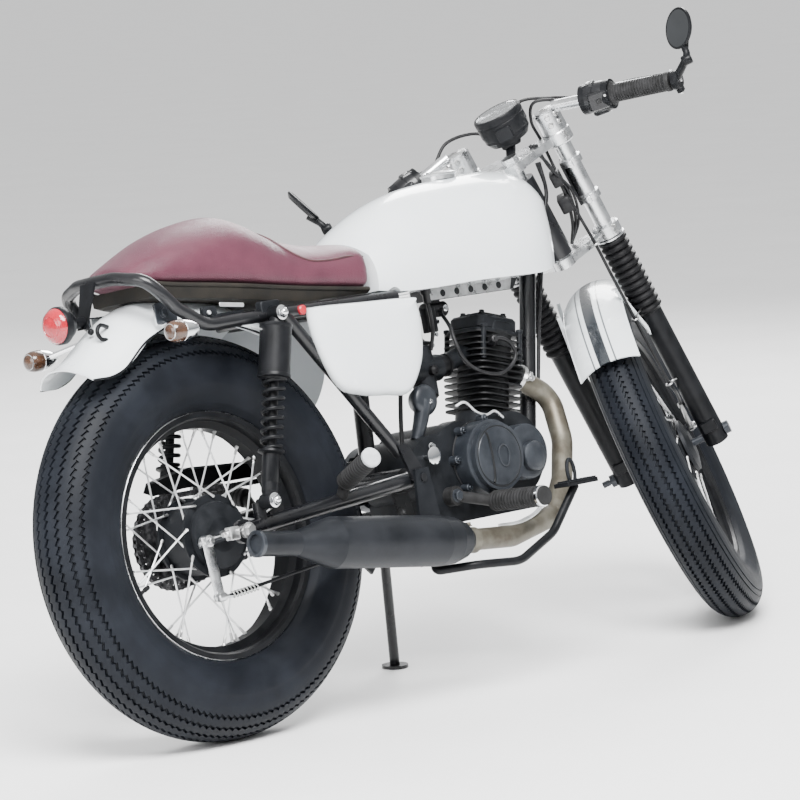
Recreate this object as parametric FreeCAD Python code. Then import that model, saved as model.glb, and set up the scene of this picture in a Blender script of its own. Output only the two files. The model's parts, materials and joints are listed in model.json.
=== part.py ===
import FreeCAD, Part
import math
import os

Vec = FreeCAD.Vector
ORIGIN = Vec(0, 0, 0)
AXIS_X = Vec(1, 0, 0)
AXIS_Y = Vec(0, 1, 0)
AXIS_Z = Vec(0, 0, 1)

# A light cafe racer, parked on its side stand with the steering on its left stop.
# Every piece is built on an upright, straight bike: X forward, Y left, Z up, with the rear
# tyre's contact under the origin. Steered pieces are then turned on the steering axis, and
# the whole bike leans. Lengths are in millimetres and angles in degrees.

# Chassis geometry
wheelbase = 1239.0
rake_deg = 25.5
trail = 89.0
lean_deg = 10.4
steer_stop_deg = 38.4

# Tyres, as half sections: a round crown, then a sidewall that falls to the rim's lip
rear_tyre_radius = 342.0
rear_tyre_half_width = 66.0
front_tyre_radius = 335.0
front_tyre_half_width = 50.0
sidewall_bulge_share = 0.95
bead_width_share = 0.64

# Rims
rear_rim_radius = 208.0
front_rim_radius = 233.0
rim_lip = 9.0
rim_well = 12.0
rim_wall = 3.5
rim_well_half_width = 13.0

# Hubs, axles and spokes
rear_hub_radius = 62.0
rear_hub_half_width = 34.0
front_hub_radius = 58.0
front_hub_half_width = 30.0
hub_flange_height = 8.0
hub_flange_width = 5.0
axle_radius = 7.0
axle_nut_radius = 12.0
axle_nut_width = 10.0
thread_radius = 6.0
thread_length = 14.0
thread_relief_radius = 4.5
thread_relief_length = 3.0
running_gap = 0.3
side_gap = 5.3
spoke_radius = 1.7
spoke_count = 36
spoke_cross_deg = 62.0
spoke_sides = 6
spoke_offset = 3.2
rear_plate_radius = 58.0
front_plate_radius = 52.0
brake_plate_width = 13.0
rear_cam_x = -44.0
rear_cam_z = -6.0
rear_arm_x = -36.0
rear_arm_z = -101.0
front_cam_x = 12.0
front_cam_z = 32.0
front_arm_x = 26.0
front_arm_z = 78.0
torque_arm_x = 84.0
torque_arm_radius = 4.0

# Drive
sprocket_pitch_radius = 77.0
drive_sprocket_radius = 31.0
chain_half_height = 6.0
chain_width = 13.0
chain_line = 80.0
drive_sprocket_x = 458.0
drive_sprocket_z = 386.0
sprocket_width = 7.0
sprocket_hole_radius = 11.0
sprocket_hole_count = 6
sprocket_tip_gap = 5.4
carrier_radius = 46.0

# Swingarm and its pivot
pivot_x = 404.0
pivot_z = 375.0
swingarm_half_width = 104.0
swingarm_radius = 14.0
swingarm_eye_half = 16.0
swingarm_cross_radius = 12.0
shock_lug_radius = 11.0
swingarm_cross_x = 372.0
axle_plate_radius = 20.0
axle_plate_width = 10.0
pivot_tube_radius = 15.0

# Frame tubes
head_tube_radius = 25.0
head_tube_low = 806.0
head_tube_high = 968.0
stem_radius = 14.0
backbone_radius = 20.0
backbone_rear_x = 432.0
backbone_rear_z = 722.0
backbone_front_z = 800.0
down_tube_radius = 15.0
down_tube_foot_x = 812.0
down_tube_top_x = 909.0
down_tube_foot_z = 405.0
seat_tube_radius = 15.0
rail_radius = 11.0
rail_half_width = 112.0
rail_z = 690.0
rail_rear_x = 96.0
strut_top_x = 165.0
strut_foot_x = 378.0
strut_foot_z = 422.0
pivot_plate_thickness = 6.0
pivot_bolt_radius = 7.0
lower_plate_half_width = 64.0
lower_plate_x = 430.0
lower_plate_z = 238.0
lower_plate_width = 34.0
frame_bend = 60.0
gusset_rear_x = 600.0
gusset_front_x = 822.0
gusset_low_z = 678.0
gusset_width = 40.0
gusset_hole_radius = 6.5
gusset_hole_count = 5

# Tail loop, one tube from rail to rail behind the seat
loop_kick_x = -8.0
loop_rise_x = -66.0
loop_shoulder_x = -98.0
loop_crest_x = -116.0
loop_corner_x = -134.0
loop_end_x = -142.0
loop_low_z = 688.0
loop_rise_z = 722.0
loop_shoulder_z = 754.0
loop_crest_z = 776.0
loop_end_z = 788.0
loop_crest_y = 100.0
loop_corner_y = 46.0
loop_bend = 60.0

# Rear shocks
shock_half_width = 132.0
shock_bolt_reach = 20.0
shock_top_x = 133.0
shock_top_z = 690.0
shock_foot_x = 44.0
shock_foot_z = 384.0
shock_shroud_radius = 27.0
shock_body_radius = 14.5
shock_spring_radius = 20.0
shock_eye_radius = 13.0
shock_eye_width = 26.0
shock_bolt_radius = 6.0
spring_wire = 6.0
spring_turns = 7

# Engine, leaning forward at the cylinder
crank_x = 690.0
crank_z = 386.0
cylinder_lean_deg = 14.0
case_half_width = 78.0
case_front_radius = 76.0
case_rear_radius = 72.0
case_rear_x = 560.0
gearbox_x = 492.0
gearbox_radius = 58.0
sump_z = 284.0
barrel_radius = 46.0
barrel_height = 92.0
fin_length = 118.0
fin_width = 114.0
fin_corner = 22.0
fin_thickness = 2.6
barrel_fin_count = 8
barrel_foot = 79.0
head_height = 56.0
head_fin_count = 5
head_core_radius = 50.0
rocker_height = 32.0
rocker_length = 70.0
rocker_width = 66.0
clutch_x = 604.0
clutch_z = 387.0
clutch_cover_radius = 67.0
clutch_boss_radius = 60.0
cover_depth = 34.0
boss_depth = 14.0
oil_cover_radius = 27.0
oil_cover_x = 696.0
oil_cover_z = 376.0
generator_radius = 64.0
generator_depth = 42.0
chain_room = 5.0

# Intake
carburettor_x = 578.0
carburettor_z = 560.0
carburettor_radius = 24.0
carburettor_length = 70.0
bowl_radius = 22.0
bowl_height = 46.0
intake_radius = 17.0

# Exhaust
header_radius = 19.0
header_bend = 70.0
port_radius = 23.0
port_length = 30.0
header_knee_x = 852.0
header_knee_y = -34.0
header_knee_z = 476.0
header_shin_x = 833.0
header_shin_y = -64.0
header_shin_z = 393.0
header_calf_x = 783.0
header_calf_y = -94.0
header_calf_z = 326.0
header_heel_x = 712.0
header_heel_y = -124.0
header_heel_z = 266.0
header_sole_x = 572.0
header_sole_y = -152.0
header_sole_z = 246.0
muffler_y = -166.0
muffler_radius = 44.0
muffler_front_x = 450.0
muffler_front_z = 255.0
muffler_rear_x = -32.0
muffler_rear_z = 319.0
muffler_cone = 74.0
muffler_tip_radius = 21.0
muffler_tip_length = 87.0
muffler_taper_length = 80.0
outlet_radius = 15.0
outlet_depth = 90.0
hanger_width = 54.0
hanger_thickness = 6.0

# Tank
tank_rear_x = 400.0
tank_front_x = 888.0
tank_bottom_z = 697.0
tank_top_z = 895.0
tank_half_width = 124.0
tunnel_clearance = 6.0
cap_radius = 31.0
cap_height = 12.0

# Seat
seat_front_x = 396.0
seat_rear_x = -131.0
seat_bottom_z = rail_z + rail_radius + running_gap
seat_top_z = 800.0
seat_half_width = 108.0

# Bodywork
cover_plane = 118.0
cover_thickness = 26.0
fender_wall = 3.0
rear_fender_gap = 66.0
rear_fender_half_width = 76.0
front_fender_gap = 23.0
front_fender_half_width = 60.0
fender_stay_radius = 4.0
fender_stay_low = 236.0
fender_stay_high = 350.0
fender_stay_spread = 44.0

# Lamps
tail_lamp_x = -205.0
tail_lamp_z = 726.0
tail_lamp_radius = 30.0
tail_lamp_depth = 34.0
lamp_plate_width = 36.0
lamp_plate_thickness = 5.0
lamp_plate_low_x = -178.0
indicator_x = -123.0
indicator_z = 682.0
indicator_half_width = 184.0
indicator_radius = 17.0
indicator_length = 60.0
indicator_stem_radius = 5.0
indicator_tab_y = 82.0
indicator_tab_length = 42.0
indicator_tab_height = 34.0
indicator_tab_front_x = -47.0
indicator_tab_low_z = 700.0

# Foot controls
peg_x = 582.0
peg_z = 311.0
peg_inner = 116.0
peg_outer = 240.0
peg_drop = 4.0
peg_radius = 17.0
peg_arm_radius = 10.0
peg_boss_x = 512.0
peg_boss_z = 332.0
engine_foot_low = 292.0
engine_foot_front = 556.0
engine_foot_rear = 466.0
peg_boss_y = 98.0
peg_boss_radius = 17.0
passenger_peg_x = 226.0
passenger_peg_z = 392.0
passenger_inner = 128.0
passenger_outer = 226.0
passenger_peg_radius = 16.0
pedal_y = -196.0
pedal_radius = 7.5
pedal_bend = 60.0
pedal_pad_x = 710.0
pedal_pad_z = 313.0
pedal_pad_length = 78.0
pedal_pad_width = 34.0
pedal_top_x = 706.0
pedal_knee_x = 632.0
pedal_knee_z = 240.0
pedal_low_x = 540.0
pedal_low_z = 203.0
pedal_rear_x = 452.0
pedal_rear_z = 211.0
pedal_rear_y = -176.0
pedal_cross_x = 400.0
pedal_cross_z = 212.0
pedal_lever_length = 55.0
brake_rod_radius = 3.0
brake_rod_rear_y = 78.0
brake_rod_front_y = 98.0
pedal_pivot_x = 430.0
pedal_pivot_z = 236.0
gear_shaft_x = 560.0
gear_shaft_z = 300.0
gear_toe_x = 700.0
gear_toe_z = 304.0
gear_lever_y = 138.0
gear_lever_radius = 6.5

# Side stand
stand_pivot_x = 520.0
stand_pivot_y = 118.0
stand_pivot_z = 256.0
stand_foot_x = 586.0
stand_foot_y = 218.0
stand_radius = 9.0
stand_pad_radius = 24.0
stand_pad_thickness = 6.0
stand_boss_radius = 15.0
stand_boss_width = 22.0
folded_leg_shares = (-1.0, 0.05, -0.12)
stand_pin_radius = 6.0
stand_plate_thickness = 8.0

# Fork, measured up each leg from the front axle
fork_half_width = 92.0
fork_tube_radius = 16.5
fork_top = 708.0
clamp_radius = 25.0
upper_yoke = 655.0
lower_yoke = 452.0
yoke_thickness = 22.0
gaiter_low = 276.0
gaiter_high = 436.0
gaiter_radius = 28.0
gaiter_groove = 5.0
gaiter_rib_count = 12
slider_radius = 22.0
slider_top = 290.0
slider_foot = 16.0
tube_foot = 240.0

# Handlebars and what they carry
bar_radius = 11.0
bar_inner = 106.0
bar_outer = 330.0
bar_root_x = 936.0
bar_root_z = 976.0
bar_end_x = 872.0
bar_end_z = 908.0
grip_radius = 16.0
grip_length = 118.0
switch_radius = 28.0
switch_length = 58.0
lever_radius = 4.5
mirror_radius = 38.0
mirror_thickness = 10.0
mirror_arm_radius = 4.0
right_mirror_x = 842.0
right_mirror_y = 383.0
right_mirror_z = 984.0
right_mirror_facing_shares = (-0.69, 0.67, 0.28)
left_mirror_x = 842.0
left_mirror_y = 372.0
left_mirror_z = 998.0
left_mirror_facing_shares = (0.05, 0.92, 0.385)
gauge_radius = 46.0
gauge_depth = 54.0
gauge_x = 906.0
gauge_y = 13.0
gauge_z = 1004.0
lamp_collar_low = 520.0
lamp_collar_high = 596.0
lamp_collar_height = 13.0
ear_thickness = 4.0
ear_width = 34.0
ear_reach = 40.0


def vec(x, y, z):
    return Vec(x, y, z)


def unit(v):
    return Vec(v).normalize()


def mirrored(shape):
    """The same piece on the other side of the bike."""
    return shape.mirror(ORIGIN, AXIS_Y)


def pair(shape):
    """A piece and its mirror image, as two solids that don't touch."""
    return Part.makeCompound([shape, mirrored(shape)])


def rod(start, end, radius):
    """Round bar between two points."""
    span = end.sub(start)
    return Part.makeCylinder(radius, span.Length, start, span)


def fused(shapes):
    """One solid from pieces that are welded or cast together."""
    body = shapes[0].multiFuse(shapes[1:])
    return body.removeSplitter()


def bend_path(points, bend):
    """Straight runs joined by tangent arcs of one bend radius, or less at a short run."""
    edges = []
    here = points[0]
    for index in range(1, len(points) - 1):
        corner = points[index]
        run_in = corner.sub(points[index - 1])
        run_out = points[index + 1].sub(corner)
        turn = run_in.getAngle(run_out)
        reach = min(bend * math.tan(turn / 2), 0.45 * run_in.Length, 0.45 * run_out.Length)
        radius = reach / math.tan(turn / 2)
        arc_start = corner.sub(unit(run_in) * reach)
        arc_end = corner.add(unit(run_out) * reach)
        inward = unit(unit(run_out).sub(unit(run_in)))
        middle = corner.add(inward * (math.hypot(reach, radius) - radius))
        edges.append(Part.LineSegment(here, arc_start).toShape())
        edges.append(Part.Arc(arc_start, middle, arc_end).toShape())
        here = arc_end
    edges.append(Part.LineSegment(here, points[-1]).toShape())
    return Part.Wire(edges)


def tube(points, radius, bend):
    """Round tube along a bent path."""
    path = bend_path(points, bend)
    section = Part.Wire(Part.makeCircle(radius, points[0], points[1].sub(points[0])))
    return path.makePipeShell([section], True, True)


def turned(outline, axis_point=ORIGIN, axis=AXIS_Y):
    """Solid of revolution of a closed outline of points in the plane of the axis."""
    wire = Part.makePolygon(outline + [outline[0]])
    return Part.Face(wire).revolve(axis_point, axis, 360)


def ring_outline(stations):
    """Points (distance along the axle, radius) in the plane of the axle and Z."""
    return [vec(0, along, radius) for along, radius in stations]


def along_axis(shape, start, direction):
    """Carries a piece built up the Z axis to a place and direction."""
    moved = shape.copy()
    turn = FreeCAD.Rotation(AXIS_Z, direction)
    moved.Placement = FreeCAD.Placement(start, turn).multiply(moved.Placement)
    return moved


def lathe(stations, start, direction):
    """Turned piece given as (distance, radius) stations from its start, on its own axis."""
    outline = [vec(radius, 0, along) for along, radius in stations]
    first = stations[0][0]
    last = stations[-1][0]
    closed = [vec(0, 0, first)] + outline + [vec(0, 0, last)]
    wire = Part.makePolygon(closed + [closed[0]])
    return along_axis(Part.Face(wire).revolve(ORIGIN, AXIS_Z, 360), start, direction)


def plate_prism(outline, thickness, direction=AXIS_Y):
    """Flat plate cut to an outline, with its thickness centred on the outline's plane."""
    wire = Part.makePolygon(outline + [outline[0]])
    face = Part.Face(wire)
    face.translate(unit(direction) * (-thickness / 2))
    return face.extrude(unit(direction) * thickness)


def rounded_outline(points, bend):
    """Closed outline whose corners are rounded."""
    middle = (points[0].add(points[-1])) * 0.5
    loop = [middle] + points + [middle]
    return bend_path(loop, bend)


def rounded_plate(points, bend, thickness, direction=AXIS_Y):
    """Plate with rounded corners, its thickness centred on the outline's plane."""
    face = Part.Face(rounded_outline(points, bend))
    face.translate(unit(direction) * (-thickness / 2))
    return face.extrude(unit(direction) * thickness)


# Steering axis: a unit vector up and back, through a point on the ground
rake = math.radians(rake_deg)
steer_axis = vec(-math.sin(rake), 0, math.cos(rake))
fork_forward = vec(math.cos(rake), 0, math.sin(rake))
axis_foot = vec(wheelbase + trail, 0, 0)
rear_axle = vec(0, 0, rear_tyre_radius)
front_axle = vec(wheelbase, 0, front_tyre_radius)


def steer_point(height):
    """Point on the steering axis, by distance up the axis from the ground."""
    return axis_foot.add(steer_axis * height)


def leg_point(up, side):
    """Point on the centre of a fork leg, by distance up the leg from the front axle."""
    return front_axle.add(steer_axis * up).add(AXIS_Y * (side * fork_half_width))


leg_base = front_axle.sub(axis_foot).dot(steer_axis)


# Wheels

def wheel_tyre(radius, half_width, rim_radius):
    """Tyre with a round crown and sidewalls that fall to the rim, about the Y axis."""
    belt = radius - half_width
    bead = half_width * bead_width_share
    seat = rim_radius - rim_lip
    crown_right = vec(0, -half_width, belt)
    crown_left = vec(0, half_width, belt)
    lip_right = vec(0, -bead, rim_radius + rim_wall)
    lip_left = vec(0, bead, rim_radius + rim_wall)
    bulge = half_width * sidewall_bulge_share
    middle = (belt + rim_radius) / 2
    inner = bead - rim_wall * 1.5
    edges = [
        Part.Arc(crown_right, vec(0, 0, radius), crown_left).toShape(),
        Part.Arc(crown_left, vec(0, bulge, middle), lip_left).toShape(),
        Part.makePolygon([lip_left, vec(0, inner, rim_radius), vec(0, inner, seat),
                          vec(0, -inner, seat), vec(0, -inner, rim_radius), lip_right]),
        Part.Arc(lip_right, vec(0, -bulge, middle), crown_right).toShape(),
    ]
    wire = Part.Wire([edge for part in edges for edge in part.Edges])
    return Part.Face(wire).revolve(ORIGIN, AXIS_Y, 360)


def wheel_rim(half_width, rim_radius):
    """Steel rim: two lips, two bead seats and a well, rolled from one sheet."""
    edge = half_width * bead_width_share
    inner = edge - rim_wall * 1.5
    seat = rim_radius - rim_lip
    well = seat - rim_well
    half = rim_well_half_width
    slope = rim_well_half_width + rim_well / 2
    outer_side = [(-edge, rim_radius), (-inner, rim_radius), (-inner, seat), (-slope, seat),
                  (-half, well), (half, well), (slope, seat), (inner, seat),
                  (inner, rim_radius), (edge, rim_radius)]
    under = well - rim_wall
    inner_side = [(edge, seat), (inner, seat - rim_wall), (slope, seat - rim_wall),
                  (half, under), (-half, under), (-slope, seat - rim_wall),
                  (-inner, seat - rim_wall), (-edge, seat)]
    return turned(ring_outline(outer_side + inner_side))


def wheel_hub(radius, half_width):
    """Full-width drum with a spoke flange at each end, bored for the axle."""
    flange = radius + hub_flange_height
    shoulder = half_width - hub_flange_width
    bore = axle_radius + running_gap
    stations = [(-half_width, bore), (-half_width, flange), (-shoulder, flange),
                (-shoulder, radius), (shoulder, radius), (shoulder, flange),
                (half_width, flange), (half_width, bore)]
    return turned(ring_outline(stations))


def spoke(start, end):
    """Thin straight bar with flat sides."""
    span = end.sub(start)
    step = 2 * math.pi / spoke_sides
    corners = []
    for index in range(spoke_sides):
        angle = index * step
        corners.append(vec(spoke_radius * math.cos(angle), spoke_radius * math.sin(angle), 0))
    bar = plate_prism(corners, span.Length, AXIS_Z)
    bar.translate(AXIS_Z * (span.Length / 2))
    return along_axis(bar, start, span)


def wheel_spokes(hub_radius, hub_half_width, rim_radius):
    """Crossed spokes from both hub flanges to the rim's well."""
    bars = []
    start_radius = hub_radius + hub_flange_height / 2
    end_radius = rim_radius - rim_lip - rim_well - rim_wall
    per_side = spoke_count // 2
    for side in (-1, 1):
        flange = side * (hub_half_width - hub_flange_width / 2)
        for index in range(per_side):
            crossing = 1 if index % 2 else -1
            pair_angle = 2 * math.pi * (index // 2) / (per_side / 2)
            half_step = math.pi / per_side * (0.5 if side > 0 else -0.5)
            start_angle = pair_angle + half_step + crossing * math.radians(spoke_cross_deg / 2)
            end_angle = pair_angle + half_step - crossing * math.pi / per_side / 2
            start_y = flange + crossing * (hub_flange_width / 2 + spoke_offset)
            end_y = side * rim_well_half_width / 2
            start = vec(start_radius * math.cos(start_angle), start_y,
                        start_radius * math.sin(start_angle))
            end = vec(end_radius * math.cos(end_angle), end_y, end_radius * math.sin(end_angle))
            bars.append(spoke(start, end))
    return Part.makeCompound(bars)


def at(shape, place):
    """A copy of a piece moved from the origin to a place."""
    moved = shape.copy()
    moved.translate(place)
    return moved


def sprocket():
    """Rear sprocket with lightening holes, on a carrier that reaches the hub."""
    inner = rear_hub_half_width
    face = chain_line - sprocket_width / 2
    outer = chain_line + sprocket_width / 2
    tip = sprocket_pitch_radius - chain_half_height - sprocket_tip_gap
    bore = axle_radius + running_gap
    stations = [(inner, bore), (inner, carrier_radius), (face, carrier_radius), (face, tip),
                (outer, tip), (outer, bore)]
    body = turned(ring_outline(stations))
    hole_circle = (carrier_radius - sprocket_hole_radius) * 0.8
    for index in range(sprocket_hole_count):
        angle = 2 * math.pi * index / sprocket_hole_count
        centre = vec(hole_circle * math.cos(angle), inner, hole_circle * math.sin(angle))
        drill = Part.makeCylinder(sprocket_hole_radius / 2, outer, centre, AXIS_Y)
        body = body.cut(drill)
    return body


def axle(half_length, side):
    """Axle with a nut at each end and a bare thread beyond the nut on one side."""
    bar = Part.makeCylinder(axle_radius, 2 * half_length, vec(0, -half_length, 0), AXIS_Y)
    nuts = [Part.makeCylinder(axle_nut_radius, axle_nut_width, vec(0, place, 0), AXIS_Y)
            for place in (-half_length, half_length - axle_nut_width)]
    outward = AXIS_Y * side
    relief = Part.makeCylinder(thread_relief_radius, thread_relief_length,
                               outward * half_length, outward)
    thread = Part.makeCylinder(thread_radius, thread_length,
                               outward * (half_length + thread_relief_length), outward)
    return fused([bar, relief, thread] + nuts)


def thread_middle(half_length):
    """Distance from the wheel's middle plane to the middle of the bare thread."""
    return half_length + thread_relief_length + thread_length / 2


# Chain loop round two sprockets

def belt_outline(rear_radius, front_radius, rear_place, front_place, y):
    """Closed outline that wraps two circles, as straight runs and arcs, in a plane of Y."""
    span = front_place.sub(rear_place)
    slope = math.atan2(span.z, span.x)
    opening = math.acos((rear_radius - front_radius) / span.Length)

    def on_circle(centre, radius, angle):
        return vec(centre.x + radius * math.cos(angle), y, centre.z + radius * math.sin(angle))

    top_rear = on_circle(rear_place, rear_radius, slope + opening)
    top_front = on_circle(front_place, front_radius, slope + opening)
    low_rear = on_circle(rear_place, rear_radius, slope - opening)
    low_front = on_circle(front_place, front_radius, slope - opening)
    nose = on_circle(front_place, front_radius, slope)
    back = on_circle(rear_place, rear_radius, slope + math.pi)
    edges = [
        Part.LineSegment(top_rear, top_front).toShape(),
        Part.Arc(top_front, nose, low_front).toShape(),
        Part.LineSegment(low_front, low_rear).toShape(),
        Part.Arc(low_rear, back, top_rear).toShape(),
    ]
    return Part.Wire(edges)


drive_sprocket_place = vec(drive_sprocket_x, 0, drive_sprocket_z)


def belt_block(grow, y_low, width):
    """Solid block with the chain's outline, grown by a margin."""
    outline = belt_outline(sprocket_pitch_radius + grow, drive_sprocket_radius + grow,
                           rear_axle, drive_sprocket_place, y_low)
    return Part.Face(outline).extrude(AXIS_Y * width)


def drive_chain():
    """Drive chain as one closed band."""
    y_low = chain_line - chain_width / 2
    return belt_block(chain_half_height, y_low, chain_width).cut(
        belt_block(-chain_half_height, y_low, chain_width))


# Frame

head_low = steer_point(head_tube_low)
head_high = steer_point(head_tube_high)
backbone_rear = vec(backbone_rear_x, 0, backbone_rear_z)
pivot_point = vec(pivot_x, 0, pivot_z)


def head_point_at(z):
    """Point on the steering axis at a height."""
    return steer_point(z / math.cos(rake))


def lower_plate():
    """Plate from the pivot boss down to the pedal pivot, right side."""
    x = lower_plate_x
    half = lower_plate_width / 2
    outline = [vec(pivot_x - half, -lower_plate_half_width, pivot_z),
               vec(pivot_x + half, -lower_plate_half_width, pivot_z),
               vec(x + half, -lower_plate_half_width, lower_plate_z),
               vec(x, -lower_plate_half_width, lower_plate_z - half),
               vec(x - half, -lower_plate_half_width, lower_plate_z)]
    return plate_prism(outline, pivot_plate_thickness)


def main_frame():
    """Head tube, backbone, down tube, seat tube, pivot boss and lower plates, welded."""
    head = rod(head_low, head_high, head_tube_radius)
    backbone = rod(head_point_at(backbone_front_z), backbone_rear, backbone_radius)
    slope = (backbone_front_z - backbone_rear_z) / (head_point_at(backbone_front_z).x
                                                    - backbone_rear_x)
    down_top = vec(down_tube_top_x, 0,
                   backbone_rear_z + slope * (down_tube_top_x - backbone_rear_x))
    down = rod(down_top, vec(down_tube_foot_x, 0, down_tube_foot_z), down_tube_radius)
    gusset = plate_prism([vec(gusset_rear_x, 0, backbone_rear_z
                              + slope * (gusset_rear_x - backbone_rear_x)),
                          vec(down_tube_top_x, 0, down_top.z),
                          vec(gusset_front_x, 0, gusset_low_z), vec(gusset_rear_x, 0, gusset_low_z)],
                         gusset_width)
    for index in range(gusset_hole_count):
        x = gusset_rear_x + (gusset_front_x - gusset_rear_x) * (index + 0.5) / gusset_hole_count
        hole = Part.makeCylinder(gusset_hole_radius, 2 * gusset_width,
                                 vec(x, -gusset_width, gusset_low_z + 2 * gusset_hole_radius), AXIS_Y)
        gusset = gusset.cut(hole)
    seat_tube = rod(backbone_rear, pivot_point, seat_tube_radius)
    boss_half = swingarm_half_width - swingarm_eye_half - running_gap
    boss = Part.makeCylinder(pivot_tube_radius * 1.4, 2 * boss_half,
                             vec(pivot_x, -boss_half, pivot_z), AXIS_Y)
    stem_bore = rod(steer_point(head_tube_low - stem_radius),
                    steer_point(head_tube_high + stem_radius), stem_radius + running_gap)
    pivot_bore = Part.makeCylinder(pivot_bolt_radius, 2 * boss_half,
                                   vec(pivot_x, -boss_half, pivot_z), AXIS_Y)
    body = fused([head, backbone, down, seat_tube, boss, gusset, lower_plate(),
                  mirrored(lower_plate())])
    return body.cut(stem_bore).cut(pivot_bore)


def pivot_plate_y():
    """Middle of the pivot plate, just outside the swingarm's eye."""
    return swingarm_half_width + swingarm_eye_half + running_gap + pivot_plate_thickness / 2


def rear_frame():
    """Seat rails, cross tubes, struts and pivot plates that carry the seat and shocks."""
    rail_front = vec(backbone_rear_x, -rail_half_width, rail_z)
    rail_rear = vec(rail_rear_x, -rail_half_width, rail_z)
    rail = rod(rail_front, rail_rear, rail_radius)
    strut_foot = vec(strut_foot_x, -rail_half_width, strut_foot_z)
    strut = rod(vec(strut_top_x, -rail_half_width, rail_z), strut_foot, rail_radius)
    y = -pivot_plate_y()
    reach = pivot_tube_radius
    plate = plate_prism([vec(strut_foot_x - reach, y, strut_foot_z + reach),
                         vec(strut_foot_x + reach * 0.6, y, strut_foot_z + reach),
                         vec(pivot_x + reach * 1.2, y, pivot_z),
                         vec(pivot_x, y, pivot_z - reach),
                         vec(pivot_x - reach * 1.2, y, pivot_z)], pivot_plate_thickness)
    cross_tubes = [Part.makeCylinder(rail_radius, 2 * rail_half_width,
                                     vec(x, -rail_half_width, rail_z), AXIS_Y)
                   for x in (backbone_rear_x, strut_top_x)]
    sides = [rail, strut, plate, mirrored(rail), mirrored(strut), mirrored(plate)]
    bolt = Part.makeCylinder(pivot_bolt_radius, 4 * swingarm_half_width,
                             vec(pivot_x, -2 * swingarm_half_width, pivot_z), AXIS_Y)
    return fused(sides + cross_tubes).cut(bolt)


def tail_loop():
    """One bent tube that rises from the rails and turns behind the seat."""
    side = rail_half_width
    half = [vec(rail_rear_x, -side, rail_z), vec(loop_kick_x, -side, loop_low_z),
            vec(loop_rise_x, -side, loop_rise_z), vec(loop_shoulder_x, -side, loop_shoulder_z),
            vec(loop_crest_x, -loop_crest_y, loop_crest_z),
            vec(loop_corner_x, -loop_corner_y, loop_end_z), vec(loop_end_x, 0, loop_end_z)]
    other = [vec(p.x, -p.y, p.z) for p in reversed(half[:-1])]
    return tube(half + other, rail_radius, loop_bend)


def swingarm():
    """Two arms with a cross tube, the pivot bolt, shock lugs and plates that hold the axle."""
    side = swingarm_half_width
    arm = rod(vec(pivot_x, -side, pivot_z), vec(0, -side, rear_tyre_radius), swingarm_radius)
    plate = Part.makeCylinder(axle_plate_radius, axle_plate_width,
                              vec(0, -side - axle_plate_width / 2, rear_tyre_radius), AXIS_Y)
    eye = Part.makeCylinder(pivot_tube_radius, 2 * swingarm_eye_half,
                            vec(pivot_x, -side - swingarm_eye_half, pivot_z), AXIS_Y)
    lug = rod(vec(shock_foot_x, -side, rear_tyre_radius),
              vec(shock_foot_x, -side, shock_foot_z), shock_lug_radius)
    bore = Part.makeCylinder(axle_radius, 2 * side, vec(0, -2 * side, rear_tyre_radius), AXIS_Y)
    half = fused([arm, plate, eye, lug]).cut(bore)
    cross_z = rear_tyre_radius + (pivot_z - rear_tyre_radius) * swingarm_cross_x / pivot_x
    cross = Part.makeCylinder(swingarm_cross_radius, 2 * side,
                              vec(swingarm_cross_x, -side, cross_z), AXIS_Y)
    bolt_half = pivot_plate_y() + pivot_plate_thickness + hanger_thickness
    bolt = Part.makeCylinder(pivot_bolt_radius, 2 * bolt_half,
                             vec(pivot_x, -bolt_half, pivot_z), AXIS_Y)
    return fused([half, mirrored(half), cross, bolt])


def shock_points():
    top = vec(shock_top_x, -shock_half_width, shock_top_z)
    foot = vec(shock_foot_x, -shock_half_width, shock_foot_z)
    return top, foot


def rear_shock():
    """Shroud, damper body, spring seats and the two eyes of one shock."""
    top, foot = shock_points()
    span = foot.sub(top)
    length = span.Length
    shroud_end = length * 0.34
    spring_end = length * 0.74
    rod_radius = shock_body_radius * 0.5
    seat = shock_spring_radius
    stations = [(0, shock_eye_radius * 0.7), (length * 0.05, shock_eye_radius),
                (length * 0.06, shock_shroud_radius), (shroud_end, shock_shroud_radius),
                (shroud_end, rod_radius), (spring_end, rod_radius), (spring_end, seat),
                (spring_end + spring_wire / 2, seat), (spring_end + spring_wire / 2, shock_body_radius),
                (length * 0.95, shock_body_radius), (length, shock_eye_radius * 0.7)]
    body = lathe(stations, top, span)
    eyes = [Part.makeCylinder(shock_eye_radius, shock_eye_width,
                              point.sub(AXIS_Y * (shock_eye_width / 2)), AXIS_Y)
            for point in (top, foot)]
    pins = []
    for point, carrier in ((top, rail_half_width), (foot, swingarm_half_width)):
        outer = point.sub(AXIS_Y * shock_bolt_reach)
        pins.append(Part.makeCylinder(shock_bolt_radius, shock_bolt_reach + shock_half_width
                                      - carrier, outer, AXIS_Y))
    return fused([body] + eyes + pins)


def shock_spring():
    """Coil spring outline, as a ribbed sleeve between the spring seats."""
    top, foot = shock_points()
    span = foot.sub(top)
    start = span.Length * 0.34
    end = span.Length * 0.74
    pitch = (end - start) / spring_turns
    inner = shock_body_radius * 0.5
    outline = [vec(inner, 0, start)]
    for turn in range(spring_turns):
        low = start + pitch * turn
        outline.append(vec(shock_spring_radius - spring_wire, 0, low))
        outline.append(vec(shock_spring_radius, 0, low + pitch * 0.3))
        outline.append(vec(shock_spring_radius, 0, low + pitch * 0.6))
    outline.append(vec(shock_spring_radius - spring_wire, 0, end))
    outline.append(vec(inner, 0, end))
    body = turned(outline, ORIGIN, AXIS_Z)
    return along_axis(body, top, span)


# Engine

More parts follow.
